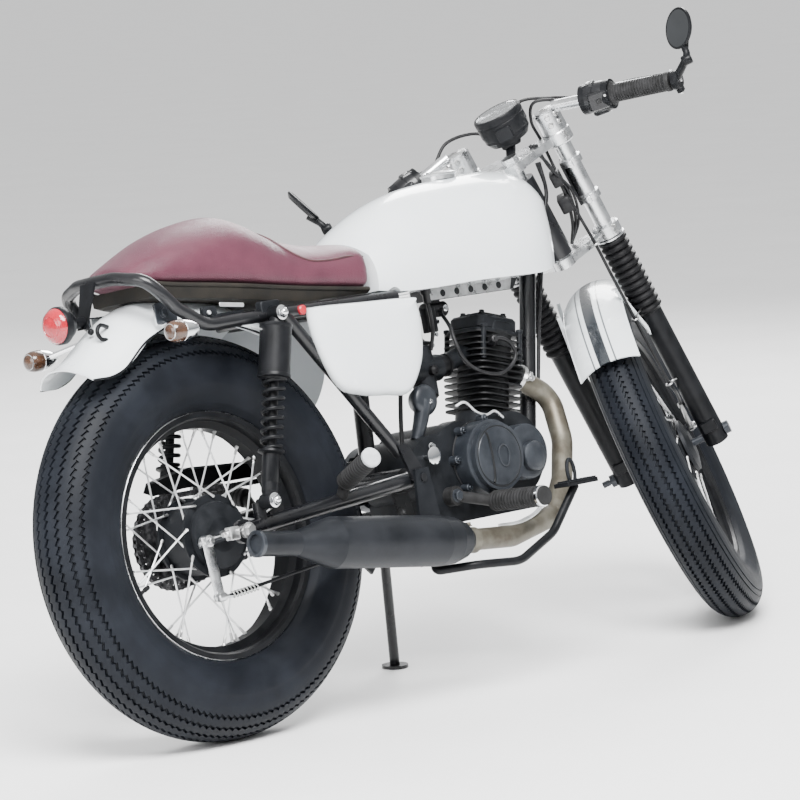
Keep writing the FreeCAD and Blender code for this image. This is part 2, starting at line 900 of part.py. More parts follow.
def engine_axis_frame(shape):
    """Carries a piece built up the Z axis onto the leaning cylinder's axis."""
    moved = shape.copy()
    turn = FreeCAD.Rotation(AXIS_Y, cylinder_lean_deg)
    moved.Placement = FreeCAD.Placement(vec(crank_x, 0, crank_z), turn).multiply(moved.Placement)
    return moved


def crankcase():
    """Plain block of the crankcase and gearbox, with the sump under it."""
    front = Part.makeCylinder(case_front_radius, 2 * case_half_width,
                              vec(crank_x, -case_half_width, crank_z), AXIS_Y)
    middle = Part.makeCylinder(case_rear_radius, 2 * case_half_width,
                               vec(case_rear_x, -case_half_width, clutch_z), AXIS_Y)
    gearbox = Part.makeCylinder(gearbox_radius, case_half_width + case_half_width * 0.8,
                                vec(gearbox_x, -case_half_width, drive_sprocket_z), AXIS_Y)
    sump = Part.makeBox(crank_x - case_rear_x + case_front_radius, 1.4 * case_half_width,
                        crank_z - sump_z,
                        vec(case_rear_x - case_rear_radius * 0.3, -0.7 * case_half_width, sump_z))
    foot = Part.makeBox(engine_foot_front - engine_foot_rear, 2 * case_half_width,
                        drive_sprocket_z - engine_foot_low,
                        vec(engine_foot_rear, -case_half_width, engine_foot_low))
    deck = engine_axis_frame(Part.makeCylinder(barrel_radius * 1.1, barrel_foot))
    body = fused([front, middle, gearbox, sump, foot, deck])
    top_cut = engine_axis_frame(Part.makeBox(fin_length * 2, fin_width * 2, barrel_height,
                                             vec(-fin_length, -fin_width, barrel_foot)))
    return body.cut(top_cut)


def fin_plate(z, length, width, thickness):
    """One cooling fin with rounded corners, square to the cylinder."""
    x = length / 2
    y = width / 2
    corners = [vec(-x, -y, z), vec(x, -y, z), vec(x, y, z), vec(-x, y, z)]
    return rounded_plate(corners, fin_corner, thickness, AXIS_Z)


def cylinder():
    """Barrel with cooling fins."""
    core = Part.makeCylinder(barrel_radius, barrel_height, vec(0, 0, barrel_foot))
    pitch = barrel_height / barrel_fin_count
    fins = []
    for index in range(barrel_fin_count):
        z = barrel_foot + pitch * (index + 0.5)
        fins.append(fin_plate(z, fin_length * (0.88 + 0.015 * index), fin_width, fin_thickness))
    return engine_axis_frame(fused([core] + fins))


def cylinder_head():
    """Finned head with the rocker cover on top."""
    foot = barrel_foot + barrel_height
    core = Part.makeCylinder(head_core_radius, head_height, vec(0, 0, foot))
    pitch = head_height / head_fin_count
    fins = []
    for index in range(head_fin_count):
        z = foot + pitch * (index + 0.5)
        fins.append(fin_plate(z, fin_length, fin_width * (1 - 0.03 * index), fin_thickness))
    x = rocker_length / 2
    y = rocker_width / 2
    z = foot + head_height + rocker_height / 2
    corners = [vec(-x, -y, z), vec(x, -y, z), vec(x, y, z), vec(-x, y, z)]
    cover = rounded_plate(corners, fin_corner, rocker_height, AXIS_Z)
    head = engine_axis_frame(fused([core, cover] + fins))
    start, way = port_line()
    return fused([head, rod(start.sub(way * head_core_radius), start, port_radius)])


def port_line():
    """Mouth of the exhaust port and the direction that it faces."""
    knee = vec(header_knee_x, header_knee_y, header_knee_z)
    root = vec(crank_x + (barrel_foot + barrel_height + header_radius * 0.4)
               * math.sin(math.radians(cylinder_lean_deg)), 0,
               crank_z + (barrel_foot + barrel_height + header_radius * 0.4)
               * math.cos(math.radians(cylinder_lean_deg)))
    way = unit(knee.sub(root))
    return root.add(way * (head_core_radius + port_length)), way


def engine_covers():
    """Clutch cover on the right and generator cover with the sprocket cover on the left."""
    right = -case_half_width
    clutch = Part.makeCylinder(clutch_cover_radius, cover_depth, vec(clutch_x, right, clutch_z),
                               AXIS_Y * -1)
    boss = Part.makeCylinder(clutch_boss_radius, cover_depth + boss_depth,
                             vec(clutch_x, right, clutch_z), AXIS_Y * -1)
    wing = Part.makeCylinder(clutch_cover_radius * 0.74, cover_depth,
                             vec(crank_x, right, crank_z), AXIS_Y * -1)
    oil = Part.makeCylinder(oil_cover_radius, cover_depth + boss_depth * 0.8,
                            vec(oil_cover_x, right, oil_cover_z), AXIS_Y * -1)
    clutch_side = fused([clutch, wing, boss, oil])
    left = case_half_width
    generator = Part.makeCylinder(generator_radius, generator_depth,
                                  vec(crank_x, left, crank_z), AXIS_Y)
    sprocket_side = Part.makeCylinder(gearbox_radius, generator_depth * 0.6,
                                      vec(gearbox_x, left, drive_sprocket_z), AXIS_Y)
    chain_space = belt_block(chain_half_height + chain_room, left,
                             chain_line + chain_width / 2 + chain_room - left)
    return Part.makeCompound([clutch_side, fused([generator, sprocket_side.cut(chain_space)])])


def carburettor():
    """Carburettor between the head and the side cover, on its intake stub."""
    start = vec(carburettor_x - carburettor_length / 2, 0, carburettor_z)
    end = vec(carburettor_x + carburettor_length / 2, 0, carburettor_z)
    body = rod(start, end, carburettor_radius)
    bowl = Part.makeCylinder(bowl_radius, bowl_height * 1.9,
                             vec(carburettor_x, 0, carburettor_z - bowl_height))
    stub = rod(end, vec(crank_x, 0, carburettor_z + intake_radius), intake_radius)
    return fused([body, bowl, stub]).cut(cylinder_head()).cut(cylinder()).Solids[0]


# Exhaust

muffler_front = vec(muffler_front_x, muffler_y, muffler_front_z)
muffler_rear = vec(muffler_rear_x, muffler_y, muffler_rear_z)


def exhaust_header():
    """Pipe from the head's port, down beside the engine and back to the muffler."""
    port, way = port_line()
    points = [
        port,
        vec(header_knee_x, header_knee_y, header_knee_z),
        vec(header_shin_x, header_shin_y, header_shin_z),
        vec(header_calf_x, header_calf_y, header_calf_z),
        vec(header_heel_x, header_heel_y, header_heel_z),
        vec(header_sole_x, header_sole_y, header_sole_z),
        muffler_front,
    ]
    return tube(points, header_radius, header_bend)


def muffler():
    """Tapered can with a front cone, a stepped tail and an open outlet."""
    span = muffler_rear.sub(muffler_front)
    length = span.Length
    stations = [(0, header_radius * 1.15), (muffler_cone * 0.2, muffler_radius * 0.72),
                (muffler_cone * 0.55, muffler_radius * 0.92), (muffler_cone, muffler_radius),
                (length - muffler_tip_length - muffler_taper_length, muffler_radius),
                (length - muffler_tip_length, muffler_tip_radius), (length, muffler_tip_radius)]
    can = lathe(stations, muffler_front, span)
    outlet = Part.makeCylinder(outlet_radius, outlet_depth, muffler_rear, span * -1)
    return fused([can, muffler_hanger()]).cut(outlet)


def muffler_hanger():
    """Plate from the pivot bolt down to the muffler's inner side."""
    y = -(pivot_plate_y() + pivot_plate_thickness / 2 + running_gap + hanger_thickness / 2)
    low = muffler_front_z + muffler_radius * 0.6
    half = hanger_width / 2
    plate = plate_prism([vec(pivot_x - half * 0.6, y, pivot_z + half * 0.6),
                         vec(pivot_x + half * 0.6, y, pivot_z + half * 0.6),
                         vec(pivot_x + half, y, low), vec(pivot_x - half, y, low)],
                        hanger_thickness)
    bolt = Part.makeCylinder(pivot_bolt_radius, 4 * swingarm_half_width,
                             vec(pivot_x, -2 * swingarm_half_width, pivot_z), AXIS_Y)
    return plate.cut(bolt)


# Bodywork

def section_loft(sections):
    """Solid through a row of closed section wires."""
    return Part.makeLoft(sections, True, False)


def body_section(x, half_low, half_high, z_low, z_side, z_top):
    """Cross section: flat bottom, a bulged side up to z_side and a crowned top."""
    z_mid = (z_low + z_side) / 2
    bulge = max(half_low, half_high) * 1.03
    low_right = vec(x, -half_low, z_low)
    low_left = vec(x, half_low, z_low)
    high_right = vec(x, -half_high, z_side)
    high_left = vec(x, half_high, z_side)
    edges = [
        Part.LineSegment(low_right, low_left).toShape(),
        Part.Arc(low_left, vec(x, bulge, z_mid), high_left).toShape(),
        Part.Arc(high_left, vec(x, 0, z_top), high_right).toShape(),
        Part.Arc(high_right, vec(x, -bulge, z_mid), low_right).toShape(),
    ]
    return Part.Wire(edges)


# Shares of the tank's length, half width and height at each section:
# place, bottom half width, shoulder half width, bottom, shoulder, top
tank_shares = [
    (0.00, 0.88, 0.80, 0.04, 0.36, 0.52),
    (0.14, 0.93, 0.82, 0.00, 0.48, 0.74),
    (0.36, 0.94, 0.80, 0.00, 0.60, 0.92),
    (0.66, 0.97, 0.84, 0.00, 0.66, 1.00),
    (0.90, 0.85, 0.76, 0.02, 0.68, 0.99),
    (1.00, 0.56, 0.56, 0.13, 0.64, 0.87),
]


def fuel_tank():
    """Tank with a tunnel for the backbone."""
    length = tank_front_x - tank_rear_x
    height = tank_top_z - tank_bottom_z
    wires = []
    for place, low, high, bottom, shoulder, top in tank_shares:
        wires.append(body_section(tank_rear_x + place * length, low * tank_half_width,
                                  high * tank_half_width, tank_bottom_z + bottom * height,
                                  tank_bottom_z + shoulder * height, tank_bottom_z + top * height))
    body = section_loft(wires)
    tunnel = rod(head_point_at(backbone_front_z), backbone_rear,
                 backbone_radius + tunnel_clearance)
    slot = plate_prism([head_point_at(backbone_front_z), backbone_rear,
                        vec(backbone_rear_x, 0, seat_bottom_z - head_tube_radius),
                        vec(tank_front_x + head_tube_radius, 0, seat_bottom_z - head_tube_radius)],
                       2 * (backbone_radius + tunnel_clearance))
    cross_space = Part.makeCylinder(rail_radius + tunnel_clearance, 4 * tank_half_width,
                                    vec(backbone_rear_x, -2 * tank_half_width, rail_z), AXIS_Y)
    return body.cut(fused([tunnel, slot, cross_space]))


def tank_cap():
    """Flip cap on the top of the tank."""
    place = vec(tank_rear_x + 0.62 * (tank_front_x - tank_rear_x), 0, tank_top_z - cap_height / 3)
    disc = Part.makeCylinder(cap_radius, cap_height, place, AXIS_Z)
    return disc.cut(fuel_tank())


# Shares of the seat's length, half width and heights at each section:
# place from the front, half width, bottom rise, side top, crown
seat_shares = [
    (0.000, 1.06, 0.05, 0.78, 1.00),
    (0.190, 1.04, 0.16, 0.80, 1.08),
    (0.300, 1.02, 0.23, 0.88, 1.24),
    (0.370, 1.00, 0.28, 1.00, 1.40),
    (0.440, 1.00, 0.33, 1.14, 1.61),
    (0.530, 0.98, 0.40, 1.26, 1.75),
    (0.670, 0.93, 0.50, 1.24, 1.68),
    (0.790, 0.87, 0.58, 1.14, 1.52),
    (0.880, 0.80, 0.66, 1.04, 1.32),
    (1.000, 0.62, 0.84, 0.92, 0.99),
]


def seat():
    """Single seat with a raised tail hump."""
    length = seat_front_x - seat_rear_x
    height = seat_top_z - seat_bottom_z
    wires = []
    for place, half, bottom, side, crown in seat_shares:
        wires.append(body_section(seat_front_x - place * length, half * seat_half_width * 0.96,
                                  half * seat_half_width * 0.9, seat_bottom_z + bottom * height,
                                  seat_bottom_z + side * height, seat_bottom_z + crown * height))
    return section_loft(wires)


# Corners of the side cover, as shares of its length and height
side_cover_length = 258.0
side_cover_height = 170.0
side_cover_front_x = 466.0
side_cover_top_z = 694.0
side_cover_shares = [(0.21, 1.00), (0.05, 0.70), (0.00, 0.32), (0.00, 0.09), (1.00, 0.00),
                     (0.97, 0.39), (0.84, 0.85), (0.64, 0.94)]


def side_cover():
    """Rounded triangular cover below the seat's nose."""
    outline = []
    for back, down in side_cover_shares:
        outline.append(vec(side_cover_front_x - back * side_cover_length, -cover_plane
                           - cover_thickness / 2, side_cover_top_z - down * side_cover_height))
    return rounded_plate(outline, frame_bend / 2, cover_thickness)


def fender_section(centre, radius, angle_deg, half_width, skirt):
    """Section across a fender: an outer and an inner arc, closed at the skirts."""
    angle = math.radians(angle_deg)
    out = vec(math.cos(angle), 0, math.sin(angle))

    def place(reach, y):
        return centre.add(out * reach).add(AXIS_Y * y)

    inner_radius = radius - fender_wall
    inner_half = half_width - fender_wall
    outer = Part.Arc(place(radius - skirt, -half_width), place(radius, 0),
                     place(radius - skirt, half_width)).toShape()
    inner = Part.Arc(place(radius - skirt, inner_half), place(inner_radius, 0),
                     place(radius - skirt, -inner_half)).toShape()
    side_left = Part.LineSegment(place(radius - skirt, half_width),
                                 place(radius - skirt, inner_half)).toShape()
    side_right = Part.LineSegment(place(radius - skirt, -inner_half),
                                  place(radius - skirt, -half_width)).toShape()
    return Part.Wire([outer, side_left, inner, side_right])


# Places round the wheel: angle, crown share, half width share, skirt share of the half width
rear_fender_shares = [(62, 0.975, 1.00, 0.62), (78, 0.98, 1.00, 0.64), (92, 1.00, 1.00, 0.62),
                      (107, 1.00, 0.98, 0.72), (118, 0.97, 0.96, 0.76), (124, 0.965, 0.94, 0.64),
                      (129, 0.985, 0.92, 0.46)]
front_fender_shares = [(78, 1.00, 1.00, 0.42), (100, 1.00, 1.00, 0.46), (125, 1.00, 1.00, 0.48),
                       (140, 1.00, 1.00, 0.46), (152, 1.00, 1.00, 0.42)]


def fender(centre, crown, half_width, table):
    wires = []
    for angle_deg, crown_share, width_share, skirt_share in table:
        wires.append(fender_section(centre, crown * crown_share, angle_deg,
                                    half_width * width_share, half_width * skirt_share))
    return section_loft(wires)


def front_fender():
    """Short front fender with two stays to each fork slider."""
    skin = fender(front_axle, front_tyre_radius + front_fender_gap, front_fender_half_width,
                  front_fender_shares)
    stays = []
    for side in (-1, 1):
        for way in (-1, 1):
            foot = leg_point(fender_stay_low, side).add(
                AXIS_Y * (-side * slider_radius * 0.7)).add(
                fork_forward * (way * slider_radius * 0.5))
            top = leg_point(fender_stay_high, side).add(
                AXIS_Y * (-side * (fork_half_width - front_fender_half_width))).add(
                fork_forward * (way * fender_stay_spread))
            stays.append(rod(foot, top, fender_stay_radius))
    clear = fender_section_block()
    solid = fused([skin] + stays)
    return solid.cut(clear)


def fender_section_block():
    """The sliders' own space, which the stays stop at."""
    return pair(rod(leg_point(-slider_foot, -1), leg_point(slider_top, -1), slider_radius))


# Lamps

def tail_lamp():
    """Round lamp on a bracket that hangs from the tail loop."""
    place = vec(tail_lamp_x, 0, tail_lamp_z)
    shell = lathe([(0, tail_lamp_radius * 0.7), (tail_lamp_depth * 0.4, tail_lamp_radius),
                   (tail_lamp_depth * 0.8, tail_lamp_radius),
                   (tail_lamp_depth, tail_lamp_radius * 0.75)], place, AXIS_X * -1)
    half = lamp_plate_width / 2
    low = tail_lamp_z - tail_lamp_radius * 0.4
    top_x = loop_end_x - rail_radius * 0.7
    plate = plate_prism([vec(top_x, -half, loop_end_z), vec(top_x, half, loop_end_z),
                         vec(lamp_plate_low_x, half * 0.6, low),
                         vec(lamp_plate_low_x, -half * 0.6, low)], lamp_plate_thickness, AXIS_X)
    neck_x = lamp_plate_low_x + (top_x - lamp_plate_low_x) * (tail_lamp_z - low) / (loop_end_z - low)
    neck = rod(vec(neck_x, 0, tail_lamp_z), place.sub(AXIS_X * (tail_lamp_depth * 0.2)),
               tail_lamp_radius * 0.3)
    return fused([shell, plate, neck]).cut(tail_loop())


def indicator():
    """Bullet indicator facing back, on a short stem."""
    place = vec(indicator_x + indicator_length / 2, -indicator_half_width, indicator_z)
    body = lathe([(0, indicator_radius * 0.35), (indicator_length * 0.3, indicator_radius * 0.9),
                  (indicator_length * 0.6, indicator_radius),
                  (indicator_length, indicator_radius * 0.8)], place, AXIS_X * -1)
    foot = vec(indicator_tab_front_x - indicator_tab_length / 2, -indicator_tab_y,
               indicator_tab_low_z + indicator_stem_radius)
    stem = rod(vec(indicator_x, -indicator_half_width, indicator_z), foot, indicator_stem_radius)
    screw = Part.makeCylinder(indicator_stem_radius, indicator_tab_y, foot, AXIS_Y)
    rear = indicator_tab_front_x - indicator_tab_length
    high = indicator_tab_low_z + indicator_tab_height
    tab = plate_prism([vec(rear, -indicator_tab_y, indicator_tab_low_z),
                       vec(indicator_tab_front_x, -indicator_tab_y, indicator_tab_low_z),
                       vec(indicator_tab_front_x, -indicator_tab_y, high),
                       vec(rear, -indicator_tab_y, high)], lamp_plate_thickness)
    return fused([body, stem, screw, tab])


# Foot controls

def rider_peg():
    """Right peg on an arm from the engine's rear mount."""
    boss = Part.makeCylinder(peg_boss_radius, peg_boss_y - case_half_width,
                             vec(peg_boss_x, -peg_boss_y, peg_boss_z), AXIS_Y)
    root = vec(peg_x, -peg_inner, peg_z)
    arm = rod(vec(peg_boss_x, -peg_boss_y + peg_arm_radius * 0.4, peg_boss_z), root, peg_arm_radius)
    rubber = rod(root, vec(peg_x, -peg_outer, peg_z - peg_drop), peg_radius)
    return fused([boss, arm, rubber])


def passenger_peg():
    """Right passenger peg on a lug of the swingarm."""
    inner = vec(passenger_peg_x, -passenger_inner, passenger_peg_z)
    outer = vec(passenger_peg_x - peg_radius * 1.4, -passenger_outer,
                passenger_peg_z + peg_radius * 2)
    lug = rod(vec(passenger_peg_x, -swingarm_half_width, rear_tyre_radius + swingarm_radius),
              inner, peg_arm_radius)
    return fused([rod(inner, outer, passenger_peg_radius), lug])


def footpegs():
    """Rider's and passenger's pegs, four separate pieces."""
    right = [rider_peg(), passenger_peg()]
    return Part.makeCompound(right + [mirrored(peg) for peg in right])


def brake_pedal():
    """Pedal pad on a bent arm that runs under the exhaust to its pivot."""
    points = [vec(pedal_top_x, pedal_y, pedal_pad_z), vec(pedal_knee_x, pedal_y, pedal_knee_z),
              vec(pedal_low_x, pedal_y, pedal_low_z), vec(pedal_rear_x, pedal_rear_y, pedal_rear_z),
              vec(pedal_cross_x, -peg_inner, pedal_cross_z),
              vec(pedal_pivot_x, -peg_inner, pedal_pivot_z)]
    arm = tube(points, pedal_radius, pedal_bend)
    pad_middle = vec(pedal_pad_x, pedal_y, pedal_pad_z)
    pad = Part.makeBox(pedal_pad_length, pedal_pad_width, pedal_radius,
                       pad_middle.sub(vec(pedal_pad_length / 2, pedal_pad_width / 2, 0)))
    plate_face = lower_plate_half_width + pivot_plate_thickness / 2 + running_gap
    pivot = Part.makeCylinder(pedal_radius * 1.8, peg_inner - plate_face,
                              vec(pedal_pivot_x, -peg_inner, pedal_pivot_z), AXIS_Y)
    lever_foot = vec(pedal_pivot_x, -brake_rod_front_y, pedal_pivot_z)
    lever_tip = lever_foot.add(AXIS_Z * pedal_lever_length)
    lever = rod(lever_foot, lever_tip, pedal_radius * 0.8)
    link = rod(lever_tip, vec(rear_arm_x, -brake_rod_rear_y, rear_tyre_radius + rear_arm_z),
               brake_rod_radius)
    return fused([arm, pad, pivot, lever, link])


def gear_lever():
    """Toe lever with its rubber, on the selector shaft at the left of the engine."""
    root = vec(gear_shaft_x, gear_lever_y, gear_shaft_z)
    toe = vec(gear_toe_x, gear_lever_y, gear_toe_z)
    arm = rod(root, toe, gear_lever_radius)
    inner = 0.6 * case_half_width
    shaft = Part.makeCylinder(gear_lever_radius, gear_lever_y - inner,
                              vec(gear_shaft_x, inner, gear_shaft_z), AXIS_Y)
    rubber = Part.makeCylinder(gear_lever_radius * 1.5, pedal_pad_width, toe, AXIS_Y)
    return fused([arm, shaft, rubber])


def stand_pivot():
    return vec(stand_pivot_x, stand_pivot_y, stand_pivot_z)


def stand_ground():
    """Place on the floor under the parked stand's foot, on the upright bike."""
    foot = chassis_pose.multVec(vec(stand_foot_x, stand_foot_y, 0))
    return chassis_pose.inverse().multVec(vec(foot.x, foot.y, 0))


def stand_axis():
    """Direction of the stand's pin, square to the leg when it is down and when it is folded."""
    leg = unit(stand_ground().sub(stand_pivot()))
    return unit(leg.cross(unit(vec(*folded_leg_shares))))


def side_stand():
    """Leg from its pivot boss to a foot that is flat on the floor when parked."""
    ground = stand_ground()
    up = chassis_pose.inverse().Rotation.multVec(AXIS_Z)
    pivot = stand_pivot()
    across = stand_axis()
    pad = Part.makeCylinder(stand_pad_radius, stand_pad_thickness, ground, up)
    leg = rod(pivot, ground.add(up * (stand_pad_thickness * 0.5)), stand_radius)
    below = Part.makeCylinder(4 * stand_pad_radius, 4 * stand_pad_radius, ground, up * -1)
    boss = Part.makeCylinder(stand_boss_radius, stand_boss_width,
                             pivot.sub(across * (stand_boss_width / 2)), across)
    eye = Part.makeCylinder(stand_pin_radius + running_gap, 2 * stand_boss_width,
                            pivot.sub(across * stand_boss_width), across)
    return fused([pad, leg, boss]).cut(below).cut(eye)


def stand_bracket():
    """Plate on the engine's foot, with the slanted pin that the side stand turns on."""
    across = stand_axis()
    pivot = stand_pivot()
    reach = (pivot.y - case_half_width - stand_plate_thickness / 2) / across.y
    root = pivot.sub(across * reach)
    inner_face = pivot.sub(across * (stand_boss_width / 2 + running_gap))
    outer_face = pivot.add(across * (stand_boss_width / 2 + running_gap))
    y = case_half_width + stand_plate_thickness / 2
    half = stand_boss_radius
    web = plate_prism([vec(root.x - half, y, root.z - half), vec(root.x + half, y, root.z - half),
                       vec(root.x + half, y, peg_boss_z), vec(root.x - 2 * half, y, peg_boss_z)],
                      stand_plate_thickness)
    spacer = rod(root, inner_face, stand_boss_radius)
    pin = rod(root, outer_face.add(across * (stand_pin_radius / 2)), stand_pin_radius)
    head = rod(outer_face, outer_face.add(across * stand_pin_radius), stand_pin_radius * 1.7)
    return fused([web, spacer, pin, head])


# Fork

def lower_leg():
    """Fork slider, bored for the tube above and for the axle at its foot."""
    foot = leg_point(-slider_foot, -1)
    body = rod(foot, leg_point(slider_top, -1), slider_radius)
    bore = rod(leg_point(tube_foot, -1), leg_point(slider_top * 2, -1),
               fork_tube_radius + running_gap)
    eye = Part.makeCylinder(axle_radius + running_gap, 4 * slider_radius,
                            leg_point(0, -1).sub(AXIS_Y * (2 * slider_radius)), AXIS_Y)
    return body.cut(bore).cut(eye)


def gaiter():
    """Ribbed rubber boot round one fork tube, above the slider."""
    inner_low = slider_radius + running_gap
    length = gaiter_high - gaiter_low
    pitch = length / gaiter_rib_count
    inner = fork_tube_radius + running_gap
    outline = [vec(inner, 0, slider_top + running_gap - gaiter_low),
               vec(inner_low, 0, slider_top + running_gap - gaiter_low), vec(inner_low, 0, 0)]
    for rib in range(gaiter_rib_count):
        low = pitch * rib
        outline.append(vec(gaiter_radius - gaiter_groove, 0, low))
        outline.append(vec(gaiter_radius, 0, low + pitch * 0.35))
        outline.append(vec(gaiter_radius, 0, low + pitch * 0.65))
    outline.append(vec(gaiter_radius - gaiter_groove, 0, length))
    outline.append(vec(inner, 0, length))
    return along_axis(turned(outline, ORIGIN, AXIS_Z), leg_point(gaiter_low, -1), steer_axis)


def fork_tube():
    return rod(leg_point(tube_foot, -1), leg_point(fork_top, -1), fork_tube_radius)


def yoke(up):
    """Clamp plate that holds both fork tubes to the stem."""
    thick = yoke_thickness
    clamps = [rod(leg_point(up - thick / 2, side), leg_point(up + thick / 2, side),
                  fork_tube_radius * 1.55) for side in (-1, 1)]
    stem = steer_point(leg_base + up)
    corners = [leg_point(up, -1).add(AXIS_Y * -fork_tube_radius),
               leg_point(up, 1).add(AXIS_Y * fork_tube_radius),
               stem.add(AXIS_Y * stem_radius).sub(fork_forward * stem_radius),
               stem.sub(AXIS_Y * stem_radius).sub(fork_forward * stem_radius)]
    web = plate_prism(corners, thick * 0.7, steer_axis)
    boss = rod(stem.sub(steer_axis * (thick * 0.4)), stem.add(steer_axis * (thick * 0.4)),
               stem_radius * 1.6)
    body = fused(clamps + [web, boss])
    for side in (-1, 1):
        body = body.cut(rod(leg_point(up - thick, side), leg_point(up + thick, side),
                            fork_tube_radius))
    return body


def yokes():
    """Upper and lower yokes joined by the steering stem."""
    stem = rod(steer_point(leg_base + lower_yoke), steer_point(leg_base + upper_yoke), stem_radius)
    return fused([yoke(upper_yoke), yoke(lower_yoke), stem])


def handlebar():
    """Clip-on bar with its clamp on the fork tube."""
    clamp = rod(leg_point(upper_yoke + yoke_thickness / 2 + running_gap, -1),
                leg_point(fork_top, -1), clamp_radius)
    root = vec(bar_root_x, -bar_inner, bar_root_z)
    end = vec(bar_end_x, -bar_outer, bar_end_z)
    bar = rod(root, end, bar_radius)
    bore = rod(leg_point(upper_yoke, -1), leg_point(fork_top + clamp_radius * 2, -1),
               fork_tube_radius)
    return fused([clamp, bar]).cut(bore)


def bar_direction():
    root = vec(bar_root_x, -bar_inner, bar_root_z)
    end = vec(bar_end_x, -bar_outer, bar_end_z)
    return root, end, unit(end.sub(root))


def grip():
    """Rubber sleeve on the end of the bar."""
    root, end, out = bar_direction()
    start = end.sub(out * grip_length)
    sleeve = rod(start, end.add(out * running_gap * 10), grip_radius)
    return sleeve.cut(rod(root, end, bar_radius))


def hand_control():
    """Switch housing and lever at the inner end of the grip."""
    root, end, out = bar_direction()
    start = end.sub(out * (grip_length + switch_length + running_gap))
    housing = rod(start, start.add(out * switch_length), switch_radius)
    lever_root = start.add(out * (switch_length / 2)).add(fork_forward * switch_radius)
    lever_mid = lever_root.add(fork_forward * (switch_radius * 1.2)).add(out * switch_length)
    lever_end = end.add(fork_forward * (switch_radius * 1.7))
    lever = tube([lever_root.sub(fork_forward * (switch_radius * 0.4)), lever_mid, lever_end],
                 lever_radius, grip_length / 3)
    return fused([housing, lever]).cut(rod(root, end, bar_radius))


def mirror(head, facing):
    """Right bar-end mirror on a short arm below its disc, the glass facing a direction."""
    root, end, out = bar_direction()
    start = end.add(out * (running_gap * 10))
    clamp = rod(start, start.add(out * bar_radius), bar_radius)
    back = head.sub(facing * mirror_thickness)
    disc = lathe([(0, mirror_radius * 0.8), (mirror_thickness * 0.6, mirror_radius),
                  (mirror_thickness, mirror_radius)], back, facing)
    down = unit(facing * facing.z - AXIS_Z)
    core = head.sub(facing * (mirror_thickness / 2))
    arm = tube([start.add(out * (bar_radius / 2)), core.add(down * (mirror_radius * 1.5)),
                core.add(down * (mirror_radius * 0.6))], mirror_arm_radius, mirror_radius / 3)
    return fused([clamp, disc, arm])


def gauge():
    """Round speedometer in a cup, on a stalk from the upper yoke."""
    place = vec(gauge_x, -gauge_y, gauge_z)
    up = steer_axis
    cup = lathe([(-gauge_depth, gauge_radius * 0.8), (-gauge_depth * 0.8, gauge_radius * 0.96),
                 (0, gauge_radius)], place, up)
    stalk = rod(place.sub(up * gauge_depth), steer_point(leg_base + upper_yoke).add(
        steer_axis * yoke_thickness * 0.35), gauge_radius * 0.2)
    return fused([cup, stalk]).cut(yokes())


def headlamp_bracket():
    """Bare lamp ear between two collars on the fork tube, its lug pointing forward."""
    collars = [rod(leg_point(up, -1), leg_point(up + lamp_collar_height, -1),
                   fork_tube_radius + ear_thickness) for up in (lamp_collar_low, lamp_collar_high)]
    bore = rod(leg_point(lower_yoke, -1), leg_point(upper_yoke, -1), fork_tube_radius)
    inward = AXIS_Y * (fork_tube_radius + ear_thickness / 2)
    behind = fork_forward * (-ear_width / 2)
    ahead = fork_forward * (ear_width / 2)
    low = leg_point(lamp_collar_low, -1).add(inward)
    high = leg_point(lamp_collar_high + lamp_collar_height, -1).add(inward)
    lug = leg_point((lamp_collar_low + lamp_collar_high + lamp_collar_height) / 2, -1).add(
        inward).add(fork_forward * ear_reach)
    corners = [low.add(behind), high.add(behind), high.add(ahead),
               lug.add(steer_axis * (ear_width / 2)), lug.sub(steer_axis * (ear_width / 2)),
               low.add(ahead)]
    web = plate_prism(corners, ear_thickness)
    hole = rod(lug.sub(AXIS_Y * ear_thickness), lug.add(AXIS_Y * ear_thickness),
               axle_radius * 0.8)
    return fused(collars + [web]).cut(bore).cut(hole)


# Parked pose: hub heights from the round crowns, then a small pitch so both tyres touch

def hub_height(radius, half_width, tilt):
    """Height of a hub when its wheel leans by an angle and rolls on its round crown."""
    return (radius - half_width) * math.cos(tilt) + half_width


def parked_placements():
    """Placements of the chassis and of the steered parts."""
    lean = FreeCAD.Placement(ORIGIN, FreeCAD.Rotation(AXIS_X, -lean_deg))
    steer = FreeCAD.Placement(ORIGIN, FreeCAD.Rotation(steer_axis, steer_stop_deg), axis_foot)
    pitch_deg = 0.0
    drop = 0.0
    for _ in range(6):
        pitch = FreeCAD.Placement(ORIGIN, FreeCAD.Rotation(AXIS_Y, pitch_deg))
        chassis = pitch.multiply(lean)
        fork = chassis.multiply(steer)
        rear_tilt = math.asin(abs(chassis.Rotation.multVec(AXIS_Y).z))
        front_tilt = math.asin(abs(fork.Rotation.multVec(AXIS_Y).z))
        rear_hub = chassis.multVec(rear_axle)
        front_hub = fork.multVec(front_axle)
        rear_error = hub_height(rear_tyre_radius, rear_tyre_half_width, rear_tilt) - rear_hub.z
        front_error = hub_height(front_tyre_radius, front_tyre_half_width, front_tilt) - front_hub.z
        drop = rear_error
        pitch_deg -= math.degrees((front_error - rear_error) / (front_hub.x - rear_hub.x))
    down = FreeCAD.Placement(AXIS_Z * drop, FreeCAD.Rotation())
    return down.multiply(chassis), down.multiply(fork)


chassis_pose, fork_pose = parked_placements()


def without(shape, *others):
    """A piece cut back to the faces of the pieces that it meets."""
    result = shape
    for other in others:
        result = result.cut(other)
    return result


def main_solid(shape):
    """The largest solid of a piece, where a neighbour cuts it through."""
    return max(shape.Solids, key=lambda solid: solid.Volume)


